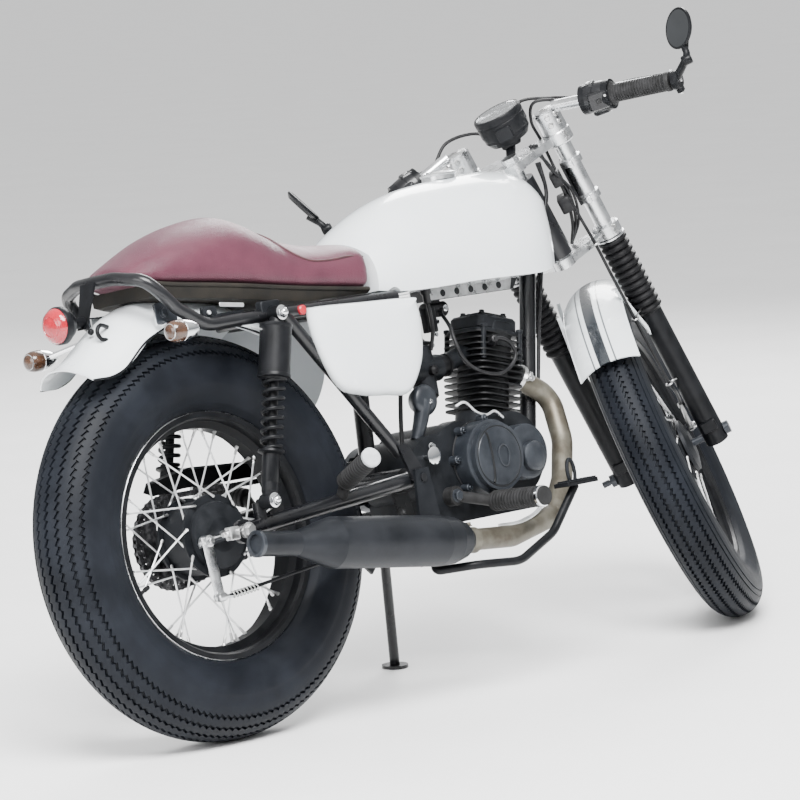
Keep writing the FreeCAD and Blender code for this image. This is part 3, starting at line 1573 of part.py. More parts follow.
def brake_plate(place, radius, hub_half_width, side, cam_place, arm_end):
    """Plate that closes the drum, with the arm that turns its cam."""
    inner = side * (hub_half_width + side_gap)
    outward = AXIS_Y * side
    face = place.add(AXIS_Y * inner)
    disc = lathe([(0, radius), (brake_plate_width * 0.5, radius * 0.96),
                  (brake_plate_width, radius * 0.5)], face, outward)
    cam = face.add(cam_place)
    shaft = Part.makeCylinder(axle_radius, brake_plate_width * 1.9, cam, outward)
    level = outward * (brake_plate_width * 1.6)
    tip = face.add(arm_end).add(level)
    lever = rod(cam.add(level), tip, axle_radius * 0.7)
    clevis = Part.makeCylinder(axle_radius * 0.8, brake_plate_width * 1.2,
                               tip.sub(outward * (brake_plate_width * 0.3)), outward)
    bore = Part.makeCylinder(axle_radius, brake_plate_width * 4,
                             face.sub(outward * brake_plate_width), outward)
    return fused([disc, shaft, lever, clevis]).cut(bore)


def torque_arm():
    """Strap that ties the rear brake plate to the swingarm."""
    y = -rear_hub_half_width - side_gap - brake_plate_width * 0.8
    root = vec(rear_cam_x, y, rear_tyre_radius + rear_cam_z * 2)
    tip = vec(torque_arm_x, -swingarm_half_width, rear_tyre_radius
              + (pivot_z - rear_tyre_radius) * torque_arm_x / pivot_x)
    return rod(root, tip, torque_arm_radius)


rear_axle_half = swingarm_half_width + axle_plate_width / 2 + axle_nut_width
front_axle_half = fork_half_width + slider_radius + axle_nut_width


def rear_axle_bar():
    return at(axle(rear_axle_half, 1), rear_axle)


def front_axle_bar():
    return at(axle(front_axle_half, 1), front_axle)


# Assembly: each node, the pose it takes and its pieces, cut back where neighbours meet

frame_piece = main_frame()
rear_frame_piece = without(rear_frame(), frame_piece)
loop_piece = without(tail_loop(), rear_frame_piece)
swingarm_piece = without(swingarm(), frame_piece, rear_frame_piece)
case_piece = without(crankcase(), frame_piece)
cylinder_piece = without(cylinder(), frame_piece, case_piece)
head_piece = without(cylinder_head(), frame_piece, cylinder_piece)
cover_piece = without(engine_covers(), frame_piece, case_piece, swingarm_piece)
carburettor_piece = without(carburettor(), frame_piece, case_piece)
header_piece = without(exhaust_header(), head_piece, cylinder_piece, frame_piece, case_piece,
                       cover_piece)
muffler_piece = without(muffler(), header_piece, swingarm_piece)
shock_right = without(rear_shock(), rear_frame_piece, swingarm_piece, loop_piece)
spring_right = without(shock_spring(), shock_right)
tank_piece = without(fuel_tank(), frame_piece, rear_frame_piece)
cap_piece = tank_cap()
seat_piece = without(seat(), tank_piece, rear_frame_piece, loop_piece, frame_piece)
cover_right = without(side_cover(), rear_frame_piece, seat_piece, tank_piece)
axle_piece = without(rear_axle_bar(), swingarm_piece)
rear_plate_bare = brake_plate(rear_axle, rear_plate_radius, rear_hub_half_width, -1,
                              vec(rear_cam_x, 0, rear_cam_z), vec(rear_arm_x, 0, rear_arm_z))
plate_piece = without(fused([rear_plate_bare, torque_arm()]), axle_piece, swingarm_piece)
fender_piece = without(fender(vec(0, 0, rear_tyre_radius), rear_tyre_radius + rear_fender_gap,
                              rear_fender_half_width, rear_fender_shares), rear_frame_piece,
                       loop_piece, seat_piece, frame_piece)
lamp_piece = without(tail_lamp(), fender_piece)
indicator_piece = main_solid(without(indicator(), fender_piece, loop_piece, shock_right))
pegs_piece = without(footpegs(), case_piece, cover_piece, swingarm_piece, muffler_piece,
                     rear_frame_piece)
pedal_piece = main_solid(without(brake_pedal(), pegs_piece, case_piece, cover_piece,
                                 muffler_piece, header_piece))
lever_piece = main_solid(without(gear_lever(), pegs_piece, case_piece, cover_piece))
controls_piece = Part.makeCompound([pedal_piece, lever_piece])
bracket_piece = without(stand_bracket(), case_piece, pegs_piece, cover_piece, controls_piece)

yokes_piece = yokes()
tube_piece = fork_tube()
bar_piece = handlebar()
control_piece = without(hand_control(), bar_piece)
mirror_right = without(mirror(vec(right_mirror_x, -right_mirror_y, right_mirror_z),
                              unit(vec(*right_mirror_facing_shares))), grip())
mirror_left = mirrored(without(mirror(vec(left_mirror_x, -left_mirror_y, left_mirror_z),
                                      unit(vec(*left_mirror_facing_shares))), grip()))
lamp_ear = without(headlamp_bracket(), yokes_piece)
front_fender_piece = front_fender()
front_axle_piece = without(front_axle_bar(), pair(lower_leg()))
front_plate_piece = without(brake_plate(front_axle, front_plate_radius, front_hub_half_width, -1,
                                        vec(front_cam_x, 0, front_cam_z),
                                        vec(front_arm_x, 0, front_arm_z)),
                            front_axle_piece, lower_leg())

rear_wheel_at = rear_axle
front_wheel_at = front_axle
chassis_nodes = {
    "main_frame": frame_piece,
    "rear_frame": rear_frame_piece,
    "tail_loop": loop_piece,
    "swingarm": swingarm_piece,
    "crankcase": case_piece,
    "cylinder": cylinder_piece,
    "cylinder_head": head_piece,
    "engine_covers": cover_piece,
    "carburettor": carburettor_piece,
    "exhaust_header": header_piece,
    "muffler": muffler_piece,
    "rear_shocks": pair(shock_right),
    "shock_springs": pair(spring_right),
    "fuel_tank": tank_piece,
    "tank_cap": cap_piece,
    "seat": seat_piece,
    "side_covers": pair(cover_right),
    "rear_fender": fender_piece,
    "tail_lamp": lamp_piece,
    "rear_indicators": pair(indicator_piece),
    "footpegs": pegs_piece,
    "foot_controls": controls_piece,
    "stand_bracket": bracket_piece,
    "side_stand": side_stand(),
    "drive_chain": without(drive_chain(), case_piece),
    "rear_axle": axle_piece,
    "rear_brake_plate": plate_piece,
    "rear_tyre": at(wheel_tyre(rear_tyre_radius, rear_tyre_half_width, rear_rim_radius),
                    rear_wheel_at),
    "rear_rim": at(wheel_rim(rear_tyre_half_width, rear_rim_radius), rear_wheel_at),
    "rear_spokes": at(wheel_spokes(rear_hub_radius, rear_hub_half_width, rear_rim_radius),
                      rear_wheel_at),
    "rear_hub": at(wheel_hub(rear_hub_radius, rear_hub_half_width), rear_wheel_at),
    "rear_sprocket": at(sprocket(), rear_wheel_at),
}
fork_nodes = {
    "yokes": yokes_piece,
    "fork_tubes": pair(tube_piece),
    "fork_gaiters": pair(gaiter()),
    "fork_sliders": pair(lower_leg()),
    "front_axle": front_axle_piece,
    "front_brake_plate": front_plate_piece,
    "handlebars": pair(bar_piece),
    "grips": pair(grip()),
    "hand_controls": pair(control_piece),
    "mirrors": Part.makeCompound([mirror_right, mirror_left]),
    "gauge": gauge(),
    "headlamp_bracket": pair(lamp_ear),
    "front_fender": front_fender_piece,
    "front_tyre": at(wheel_tyre(front_tyre_radius, front_tyre_half_width, front_rim_radius),
                     front_wheel_at),
    "front_rim": at(wheel_rim(front_tyre_half_width, front_rim_radius), front_wheel_at),
    "front_spokes": at(wheel_spokes(front_hub_radius, front_hub_half_width, front_rim_radius),
                       front_wheel_at),
    "front_hub": at(wheel_hub(front_hub_radius, front_hub_half_width), front_wheel_at),
}


def placed(shape, pose):
    """A copy of a piece carried by a pose, with the pose written into its geometry."""
    return shape.transformed(pose.toMatrix(), True)


nodes = {}
for name, piece in chassis_nodes.items():
    nodes[name] = placed(piece, chassis_pose)
for name, piece in fork_nodes.items():
    nodes[name] = placed(piece, fork_pose)

# The origin is on the floor at the middle of the parked bike's box
boxes = [piece.optimalBoundingBox() for piece in nodes.values()]
middle_x = (min(box.XMin for box in boxes) + max(box.XMax for box in boxes)) / 2
middle_y = (min(box.YMin for box in boxes) + max(box.YMax for box in boxes)) / 2
shift = vec(-middle_x, -middle_y, 0)

os.makedirs("parts", exist_ok=True)
for name, piece in nodes.items():
    piece.translate(shift)
    piece.exportStep(os.path.join("parts", name + ".step"))
    print(name, "solids", len(piece.Solids), "volume", round(piece.Volume), "valid", piece.isValid())


def show_place(kind, name, pose, place, direction):
    """Prints a place in metres and a direction, as they are on the parked bike."""
    where = pose.multVec(place).add(shift)
    way = unit(pose.Rotation.multVec(direction))
    print(kind, name, [round(value / 1000, 6) for value in where],
          [round(value, 6) for value in way])


show_place("joint", "steering", chassis_pose, steer_point(head_tube_high), steer_axis)
show_place("joint", "front_wheel", fork_pose, front_axle, AXIS_Y)
show_place("joint", "rear_wheel", chassis_pose, rear_axle, AXIS_Y)
show_place("joint", "side_stand", chassis_pose, stand_pivot(), stand_axis())
show_place("mount", "muffler_outlet", chassis_pose, muffler_rear, muffler_rear.sub(muffler_front))
show_place("mount", "rear_axle_left", chassis_pose,
           rear_axle.add(AXIS_Y * thread_middle(rear_axle_half)), AXIS_Y)
show_place("mount", "front_axle_left", fork_pose,
           front_axle.add(AXIS_Y * thread_middle(front_axle_half)), AXIS_Y)
show_place("mount", "stand_foot", chassis_pose, stand_ground(),
           chassis_pose.inverse().Rotation.multVec(AXIS_Z * -1))
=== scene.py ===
import bpy
import bmesh
import json
import math
import numpy as np
from mathutils import Matrix, Vector
from mathutils.bvhtree import BVHTree


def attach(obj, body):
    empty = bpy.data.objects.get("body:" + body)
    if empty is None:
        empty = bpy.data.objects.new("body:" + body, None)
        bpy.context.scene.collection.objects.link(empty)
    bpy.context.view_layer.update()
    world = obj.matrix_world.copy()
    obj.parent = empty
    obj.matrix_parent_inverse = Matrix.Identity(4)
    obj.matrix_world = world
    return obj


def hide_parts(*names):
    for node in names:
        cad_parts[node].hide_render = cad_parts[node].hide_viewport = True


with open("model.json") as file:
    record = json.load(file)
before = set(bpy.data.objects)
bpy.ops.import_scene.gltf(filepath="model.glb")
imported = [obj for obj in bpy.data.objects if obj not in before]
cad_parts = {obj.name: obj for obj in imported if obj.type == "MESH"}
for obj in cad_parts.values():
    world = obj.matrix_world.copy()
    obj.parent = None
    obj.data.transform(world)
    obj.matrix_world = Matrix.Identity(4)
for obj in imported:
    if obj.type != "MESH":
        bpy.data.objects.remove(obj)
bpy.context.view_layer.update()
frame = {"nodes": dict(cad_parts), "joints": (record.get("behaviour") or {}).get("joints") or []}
nodes = frame["nodes"]

# Places: millimetres on the upright bike (X forward, Y left, Z up) carried to the parked pose

X, Y, Z = Vector((1, 0, 0)), Vector((0, 1, 0)), Vector((0, 0, 1))
WHEELBASE, REAR_RADIUS, FRONT_RADIUS = 1239, 342, 335
STEM_FOOT = 1328
LEG_SPREAD = 92
RAKE, LEAN, PITCH, STEER = (math.radians(a) for a in (25.5, 10.4, 0.3057, 38.4))
UP = Vector((-math.sin(RAKE), 0, math.cos(RAKE)))
AHEAD = Vector((math.cos(RAKE), 0, math.sin(RAKE)))
SIDES = (-1, 1)
hub = next(Vector(j["pos_m"]) for j in frame["joints"] if j["name"] == "rear_wheel_spin")
bike = (Matrix.Translation(hub) @ Matrix.Rotation(PITCH, 4, "Y") @ Matrix.Rotation(-LEAN, 4, "X")
        @ Matrix.Scale(0.001, 4) @ Matrix.Translation((0, 0, -REAR_RADIUS)))
foot = Matrix.Translation((STEM_FOOT, 0, 0))
fork = bike @ foot @ Matrix.Rotation(STEER, 4, UP) @ foot.inverted()
axle = Vector((WHEELBASE, 0, FRONT_RADIUS))
rear_wheel = bike @ Matrix.Translation((0, 0, REAR_RADIUS))
front_wheel = fork @ Matrix.Translation(axle)


def V(*p):
    return Vector(p)


def leg(up, side, ahead=0.0, left=0.0):
    """A place by the fork, measured from the front axle along the legs."""
    return axle + UP * up + Y * (LEG_SPREAD * side + left) + AHEAD * ahead


def flip(p):
    return Vector((p[0], -p[1], p[2]))


def turn(count, first=0.0):
    """Angles of a whole turn in equal steps."""
    return [2 * math.pi * (k + first) / count for k in range(count)]


def on_rim(centre, radius, degrees, y):
    """A place on an upright circle round a centre, at a given distance to the left."""
    a = math.radians(degrees)
    return V(centre.x + radius * math.cos(a), y, centre.z + radius * math.sin(a))


def circle_through(a, b, c):
    """Centre and radius of the circle through three places, or None where they line up."""
    m = np.array([b - a, c - b])
    if abs(np.linalg.det(m)) < 1e-6:
        return None
    centre = np.linalg.solve(m, (m * np.array([(a + b) / 2, (b + c) / 2])).sum(1))
    return centre, np.linalg.norm(a - centre)


def through(table, t):
    """Smooth value at a place in a table whose first column is the place."""
    rows = [np.array(r) for r in table]
    k = max(i for i in range(len(rows)) if rows[i][0] <= t + 1e-9)
    k = min(k, len(rows) - 2)
    a, b = rows[max(k - 1, 0)], rows[k]
    c, d = rows[k + 1], rows[min(k + 2, len(rows) - 1)]
    span = c[0] - b[0]
    s = (t - b[0]) / span
    mb = (c - a) / max(c[0] - a[0], 1e-6) * span
    mc = (d - b) / max(d[0] - b[0], 1e-6) * span
    return ((2 * s ** 3 - 3 * s ** 2 + 1) * b + (s ** 3 - 2 * s ** 2 + s) * mb
            + (-2 * s ** 3 + 3 * s ** 2) * c + (s ** 3 - s ** 2) * mc)


# Forms: vertices and faces gathered before they become a piece

def basis(way, hint=None):
    w = Vector(way).normalized()
    h = Vector(hint) if hint is not None else (X if abs(w.x) < 0.8 else Z)
    u = (h - w * h.dot(w)).normalized()
    return u, w.cross(u), w


def curve_point(a, b, c, d, t):
    """A place on the smooth curve between b and c, with a and d beside them."""
    return 0.5 * ((2 * b) + (c - a) * t + (2 * a - 5 * b + 4 * c - d) * t * t
                  + (3 * b - a - 3 * c + d) * t ** 3)


def smooth_path(points, steps):
    points = [Vector(p) for p in points]
    if steps < 2 or len(points) < 3:
        return points
    ends = [points[0] * 2 - points[1]] + points + [points[-1] * 2 - points[-2]]
    return [curve_point(*ends[i - 1:i + 3], s / steps)
            for i in range(1, len(ends) - 2) for s in range(steps)] + [points[-1]]


def closed_curve(points, steps):
    n = len(points)
    return [curve_point(*(Vector(points[(i + k) % n]) for k in (-1, 0, 1, 2)), s / steps)
            for i in range(n) for s in range(steps)]


def rounded(w, d, r, steps=4):
    """Outline of a rectangle with round corners."""
    out = []
    for sx, sy, first in ((1, 1, 0), (-1, 1, 90), (-1, -1, 180), (1, -1, 270)):
        for k in range(steps + 1):
            a = math.radians(first + 90 * k / steps)
            out.append((sx * (w / 2 - r) + r * math.cos(a), sy * (d / 2 - r) + r * math.sin(a)))
    return out


class Form:
    """Points in millimetres and faces, added shape by shape."""

    def __init__(self):
        self.v, self.f = [], []

    def add(self, points, faces):
        n = len(self.v)
        self.v += [Vector(p) for p in points]
        self.f += [[n + i for i in face] for face in faces]
        return self

    def loft(self, rings, closed=False):
        """Skin over rings of equally many points, with its ends filled."""
        n, k = len(rings[0]), len(rings)
        faces = []
        for a in range(k if closed else k - 1):
            b = (a + 1) % k
            faces += [(a * n + i, a * n + (i + 1) % n, b * n + (i + 1) % n, b * n + i)
                      for i in range(n)]
        if not closed:
            faces += [list(range(n))[::-1], [(k - 1) * n + i for i in range(n)]]
        return self.add([p for ring in rings for p in ring], faces)

    def lathe(self, start, way, stations, count=32, closed=False):
        """Turned shape: pairs of distance along the way and radius."""
        u, v, w = basis(way)
        start = Vector(start)
        rings = []
        for along, radius in stations:
            radius = max(radius, 0.002)
            rings.append([start + w * along + (u * math.cos(a) + v * math.sin(a)) * radius
                          for a in turn(count, 0.5)])
        return self.loft(rings, closed)

    def tube(self, points, radius, count=10, steps=6, closed=False, flat=1.0):
        """Tube along a smooth path, its radius a length or a function of the share of the way."""
        path = smooth_path(points, steps)
        n = len(path)
        rings, u = [], None
        for i, p in enumerate(path):
            if closed:
                t = (path[(i + 1) % n] - path[i - 1]).normalized()
            else:
                t = (path[min(i + 1, n - 1)] - path[max(i - 1, 0)]).normalized()
            u = basis(t)[0] if u is None else (u - t * u.dot(t)).normalized()
            v = t.cross(u)
            r = radius(i / max(n - 1, 1)) if callable(radius) else radius
            rings.append([p + (u * math.cos(a) + v * math.sin(a) * flat) * r
                          for a in turn(count)])
        return self.loft(rings, closed)

    def prism(self, outline, origin, way, depth, bevel=1.0, hint=None, dome=0.0):
        """Outline pushed along the way, with bevelled ends and a domed top if asked."""
        u, v, w = basis(way, hint)
        mid = sum((Vector((a, b)) for a, b in outline), Vector((0, 0))) / len(outline)
        reach = max((Vector(p) - mid).length for p in outline)
        rings = []
        steps = [(0, bevel), (bevel, 0), (depth - bevel, 0), (depth, bevel)]
        if dome:
            steps += [(depth + dome * (1 - (1 - k / 4) ** 2), bevel + reach * 0.96 * k / 4)
                      for k in range(1, 5)]
        for along, inset in steps:
            s = 1 - inset / reach
            rings.append([Vector(origin) + w * along + u * (mid.x + (a - mid.x) * s)
                          + v * (mid.y + (b - mid.y) * s) for a, b in outline])
        return self.loft(rings)

    def slab(self, centre, size, way=Z, hint=X, corner=2.0, bevel=1.0, dome=0.0):
        w, d, h = size
        start = Vector(centre) - Vector(way).normalized() * h / 2
        return self.prism(rounded(w, d, corner), start, way, h, bevel, hint, dome)

    def bolt(self, place, way, across, height):
        """Hexagon head on a round washer."""
        r = across / 2 * 1.1
        self.lathe(place, way, [(-0.5, r * 1.3), (1.0, r * 1.3), (1.3, r * 1.2)], 16)
        return self.lathe(place, way, [(-0.5, r * 0.96), (1.2, r), (height * 0.8, r),
                                       (height, r * 0.82)], 6)

    def cap_screw(self, place, way, radius, height):
        return self.lathe(place, way, [(-0.5, radius), (height * 0.75, radius),
                                       (height, radius * 0.85), (height, radius * 0.5),
                                       (height * 0.4, radius * 0.48), (height * 0.4, 0)], 12)

    def mirrored(self):
        """Adds the same shapes on the other side of the bike."""
        n = len(self.v)
        self.v += [flip(p) for p in self.v[:n]]
        self.f += [[i + n for i in face[::-1]] for face in list(self.f)]
        return self


# Materials

WELD = 8e-6
finishes = {}


def node(tree, kind, source=None, values=()):
    """Adds a shader node, feeds its first input from source and sets the values of others."""
    made = tree.nodes.new("ShaderNode" + kind)
    for key, value in dict(values).items():
        made.inputs[key].default_value = value
    if source is not None:
        tree.links.new(source, made.inputs[0])
    return made


def finish(name, slot, tones, rough, metal=0.0, grain=40.0, bump=0.0, fine=400.0, coat=0.0,
           sheen=0.0, glass=0.0, spec=0.5, cells=False, contrast=(0.32, 0.68), coat_rough=0.08):
    """A material with cloudy tones and roughness, and a fine bump of noise or of cells."""
    m = bpy.data.materials.new(name)
    m.use_nodes = True
    tree = m.node_tree
    shader = tree.nodes["Principled BSDF"]
    place = node(tree, "TexCoord").outputs["Object"]
    cloud = node(tree, "TexNoise", place, {"Scale": grain, "Detail": 6, "Roughness": 0.62})
    ramp = node(tree, "ValToRGB", cloud.outputs["Fac"])
    stops = ramp.color_ramp.elements
    low, high = contrast
    stops[0].position, stops[1].position = low, high
    stops[0].color, stops[1].color = (*tones[0], 1), (*tones[-1], 1)
    for k, tone in enumerate(tones[1:-1], 1):
        stops.new(low + (high - low) * k / (len(tones) - 1)).color = (*tone, 1)
    tree.links.new(ramp.outputs["Color"], shader.inputs["Base Color"])
    level = node(tree, "MapRange", cloud.outputs["Fac"],
                 {"From Min": 0.3, "From Max": 0.7, "To Min": rough[0], "To Max": rough[1]})
    tree.links.new(level.outputs["Result"], shader.inputs["Roughness"])
    for key, value in (("Metallic", metal), ("Specular IOR Level", spec), ("Coat Weight", coat),
                       ("Coat Roughness", coat_rough), ("Sheen Weight", sheen),
                       ("Transmission Weight", glass)):
        shader.inputs[key].default_value = value
    if bump:
        if cells:
            grit = node(tree, "TexVoronoi", place, {"Scale": fine}).outputs["Distance"]
        else:
            grit = node(tree, "TexNoise", place, {"Scale": fine, "Detail": 4}).outputs["Fac"]
        rise = node(tree, "Bump", None, {"Distance": bump, "Strength": 1.0})
        tree.links.new(grit, rise.inputs["Height"])
        tree.links.new(rise.outputs["Normal"], shader.inputs["Normal"])
    finishes[name] = (m, slot)


def bands(look, place, axis, spans, tone, soft=0.4):
    """Paints bands across a material, measured along an axis of the bike or the fork."""
    tree = finishes[look][0].node_tree
    shader = tree.nodes["Principled BSDF"]
    move, turned, size = place.inverted().decompose()
    carry = node(tree, "Mapping", node(tree, "TexCoord").outputs["Object"],
                 {"Location": move, "Rotation": turned.to_euler("XYZ"), "Scale": size})
    split = node(tree, "SeparateXYZ", carry.outputs["Vector"])
    total = None
    for low, high in spans:
        gap = node(tree, "Math", split.outputs[axis], {1: (low + high) / 2})
        gap.operation = "SUBTRACT"
        off = node(tree, "Math", gap.outputs[0])
        off.operation = "ABSOLUTE"
        half = (high - low) / 2
        edge = node(tree, "MapRange", off.outputs[0],
                    {"From Min": half + soft, "From Max": half - soft}).outputs["Result"]
        if total is not None:
            joined = node(tree, "Math", total)
            joined.operation = "MAXIMUM"
            tree.links.new(edge, joined.inputs[1])
            edge = joined.outputs[0]
        total = edge
    mix = node(tree, "Mix")
    mix.data_type = "RGBA"
    factor, first, second = mix.inputs[0], mix.inputs[6], mix.inputs[7]
    second.default_value = (*tone, 1)
    old = shader.inputs["Base Color"].links[0].from_socket
    tree.links.new(total, factor)
    tree.links.new(old, first)
    tree.links.new(mix.outputs[2], shader.inputs["Base Color"])


finish("frame_black", "frame_paint", [(0.003, 0.003, 0.004), (0.008, 0.0085, 0.01)],
       (0.22, 0.38), grain=14, bump=0.00012, fine=600, coat=0.2, spec=0.35)
finish("fin_black", "engine_black", [(0.004, 0.0045, 0.005), (0.012, 0.0125, 0.014)], (0.42, 0.6),
       metal=0.2, grain=35, bump=0.0002, fine=900, spec=0.3)
finish("case_grey", "engine_satin", [(0.013, 0.016, 0.021), (0.024, 0.028, 0.035),
       (0.036, 0.041, 0.049)], (0.3, 0.48), metal=0.35, grain=22, bump=0.00022, fine=1100, coat=0.15)
finish("cast_dark", "engine_satin", [(0.005, 0.006, 0.0075), (0.016, 0.0175, 0.0205)], (0.4, 0.62),
       metal=0.25, grain=30, bump=0.0003, fine=800, spec=0.18)
finish("brushed_alloy", "alloy", [(0.5, 0.51, 0.52), (0.68, 0.69, 0.7), (0.8, 0.81, 0.82)],
       (0.2, 0.36), metal=1.0, grain=25, bump=0.00008, fine=900)
finish("bright_chrome", "chrome", [(0.72, 0.73, 0.74), (0.86, 0.87, 0.88)], (0.05, 0.14),
       metal=1.0, grain=12)
finish("zinc_steel", "steel", [(0.42, 0.42, 0.41), (0.6, 0.6, 0.6), (0.74, 0.74, 0.74)],
       (0.22, 0.42), metal=1.0, grain=60, bump=0.00006, fine=1200)
finish("chain_steel", "steel", [(0.02, 0.02, 0.022), (0.06, 0.06, 0.064), (0.16, 0.16, 0.165)],
       (0.3, 0.5), metal=0.8, grain=90, bump=0.0001, fine=900)
finish("spoke_steel", "steel", [(0.8, 0.81, 0.82), (0.92, 0.93, 0.94)], (0.3, 0.42), metal=0.85,
       grain=70)
finish("heated_pipe", "header_steel", [(0.05, 0.036, 0.025), (0.098, 0.085, 0.064),
       (0.14, 0.13, 0.104), (0.19, 0.18, 0.15)], (0.36, 0.6), metal=0.7, grain=20, bump=0.00025,
       fine=500, contrast=(0.26, 0.72))
finish("muffler_black", "black_steel", [(0.009, 0.0102, 0.0125), (0.018, 0.0198, 0.0235)],
       (0.34, 0.5), metal=0.3, grain=16, bump=0.0001, fine=900, spec=0.2)
finish("satin_black", "black_steel", [(0.003, 0.0033, 0.004), (0.0085, 0.009, 0.0105)], (0.3, 0.48),
       metal=0.0, grain=30, bump=0.0001, fine=700, spec=0.16)
# Painted shade for the inside of the muffler's bore: near-black, fully rough, no specular
finish("bore_shade_black", "black_steel", [(0.0015, 0.0015, 0.0015), (0.004, 0.004, 0.004)], (0.9, 1.0),
       grain=40, spec=0.0)
finish("white_paint", "tank_paint", [(0.78, 0.825, 0.85), (0.84, 0.875, 0.895)], (0.2, 0.3),
       grain=5, coat=0.85, coat_rough=0.06)
finish("fender_paint", "tank_paint", [(0.74, 0.78, 0.8), (0.79, 0.825, 0.84)], (0.22, 0.32),
       grain=5, coat=0.7, coat_rough=0.08)
finish("tail_paint", "tank_paint", [(0.72, 0.765, 0.79), (0.79, 0.825, 0.84)], (0.22, 0.34),
       grain=6, coat=0.7, coat_rough=0.08)
finish("burgundy_leather", "seat_leather", [(0.06, 0.014, 0.026), (0.08, 0.02, 0.035),
       (0.098, 0.026, 0.042)], (0.34, 0.46), grain=14, bump=0.0004, fine=620, sheen=0.08,
       cells=True, contrast=(0.25, 0.75), spec=0.32)
finish("dark_piping", "seat_leather", [(0.03, 0.008, 0.011), (0.07, 0.018, 0.024)], (0.4, 0.55),
       grain=60, bump=0.0003, fine=900, cells=True)
# Dark brown of the seat's base edge; the same finish on the pan under the seat is painted shade
finish("seat_base_and_shade", "peg_rubber", [(0.006, 0.0058, 0.0055), (0.02, 0.017, 0.013)], (0.5, 0.7),
       grain=18, bump=0.0002, fine=500, spec=0.22)
finish("red_glass", "red_lens", [(0.26, 0.002, 0.01), (0.42, 0.006, 0.02)], (0.08, 0.16),
       grain=30, coat=0.8, bump=0.0004, fine=260, cells=True)
finish("amber_glass", "red_lens", [(0.022, 0.011, 0.007), (0.075, 0.036, 0.02)], (0.1, 0.2), grain=60,
       coat=0.45, bump=0.0003, fine=340, cells=True)
finish("tyre_rubber", "tyre", [(0.0035, 0.0044, 0.0065), (0.0062, 0.0075, 0.0105),
       (0.0105, 0.0125, 0.017)], (0.44, 0.6), grain=9, bump=0.00018, fine=700, spec=0.13)
finish("gaiter_black", "gaiter_rubber", [(0.003, 0.003, 0.0035), (0.009, 0.009, 0.01)],
       (0.36, 0.52), grain=40, bump=0.0001, fine=800, spec=0.14)
finish("grip_rubber", "peg_rubber", [(0.008, 0.008, 0.008), (0.024, 0.024, 0.025)], (0.5, 0.7),
       grain=60, bump=0.0002, fine=1400, spec=0.22)
finish("cord_black", "peg_rubber", [(0.006, 0.006, 0.007), (0.018, 0.018, 0.019)], (0.34, 0.5),
       grain=80, bump=0.0001, fine=1500, spec=0.22)
finish("clear_glass", "chrome", [(0.85, 0.88, 0.9), (0.92, 0.94, 0.95)], (0.02, 0.06), grain=6,
       coat=0.5, glass=0.92)
finish("mirror_face", "chrome", [(0.24, 0.245, 0.25), (0.32, 0.325, 0.33)], (0.03, 0.08),
       metal=1.0, grain=6)
finish("dial_face", "engine_black", [(0.01, 0.012, 0.014), (0.03, 0.033, 0.037)], (0.4, 0.5),
       grain=30, bump=0.00005, fine=900)
finish("pale_marks", "tank_paint", [(0.6, 0.62, 0.6), (0.75, 0.77, 0.75)], (0.4, 0.5), grain=80)
finish("white_plastic", "alloy", [(0.42, 0.44, 0.46), (0.66, 0.68, 0.7)], (0.35, 0.5), grain=40,
       bump=0.0002, fine=500)
finish("red_plastic", "red_lens", [(0.35, 0.01, 0.02), (0.5, 0.02, 0.035)], (0.25, 0.4), grain=90)

node_finish = {
    "main_frame": "frame_black", "rear_frame": "frame_black", "tail_loop": "frame_black",
    "swingarm": "frame_black", "crankcase": "cast_dark", "cylinder": "fin_black",
    "cylinder_head": "fin_black", "engine_covers": "case_grey", "carburettor": "cast_dark",
    "exhaust_header": "heated_pipe", "muffler": "muffler_black", "rear_shocks": "satin_black",
    "shock_springs": "satin_black", "fuel_tank": "white_paint", "tank_cap": "brushed_alloy",
    "seat": "burgundy_leather", "side_covers": "white_paint", "rear_fender": "tail_paint",
    "tail_lamp": "satin_black", "rear_indicators": "bright_chrome", "footpegs": "grip_rubber",
    "foot_controls": "satin_black", "stand_bracket": "frame_black", "drive_chain": "chain_steel",
    "rear_axle": "zinc_steel", "rear_brake_plate": "cast_dark", "rear_tyre": "tyre_rubber",
    "rear_rim": "satin_black", "rear_spokes": "spoke_steel", "rear_hub": "cast_dark",
    "rear_sprocket": "chain_steel", "yokes": "brushed_alloy", "fork_tubes": "brushed_alloy",
    "fork_gaiters": "gaiter_black", "fork_sliders": "satin_black", "front_axle": "case_grey",
    "front_brake_plate": "cast_dark", "handlebars": "brushed_alloy", "grips": "grip_rubber",
    "hand_controls": "satin_black", "mirrors": "satin_black", "gauge": "satin_black",
    "headlamp_bracket": "satin_black", "front_fender": "fender_paint",
    "front_tyre": "tyre_rubber", "front_rim": "satin_black", "front_spokes": "spoke_steel",
    "front_hub": "cast_dark", "side_stand": "frame_black",
}
for name, thing in nodes.items():
    thing.data.materials.clear()
    thing.data.materials.append(finishes[node_finish[name]][0])

bands("fender_paint", fork, 1, [(-9, 13)], (0.018, 0.021, 0.025))
bands("fender_paint", fork, 1, [(-21, -18), (22, 25)], (0.1, 0.11, 0.12))


def link_object(name, mesh, look, body, replaces=()):
    material, slot = finishes[look]
    mesh.materials.clear()
    mesh.materials.append(material)
    thing = bpy.data.objects.new(name, mesh)
    bpy.context.scene.collection.objects.link(thing)
    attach(thing, body)
    if replaces:
        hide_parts(*replaces)
    return thing


def dress(mesh, sharp, weld=0.0):
    """Welds a mesh, turns its faces outward and shades it smooth up to a sharp angle."""
    bm = bmesh.new()
    bm.from_mesh(mesh)
    if weld:
        bmesh.ops.remove_doubles(bm, verts=bm.verts, dist=weld)
    bmesh.ops.recalc_face_normals(bm, faces=bm.faces)
    bm.to_mesh(mesh)
    bm.free()
    mesh.polygons.foreach_set("use_smooth", [True] * len(mesh.polygons))
    mesh.set_sharp_from_angle(angle=math.radians(sharp))
    return mesh


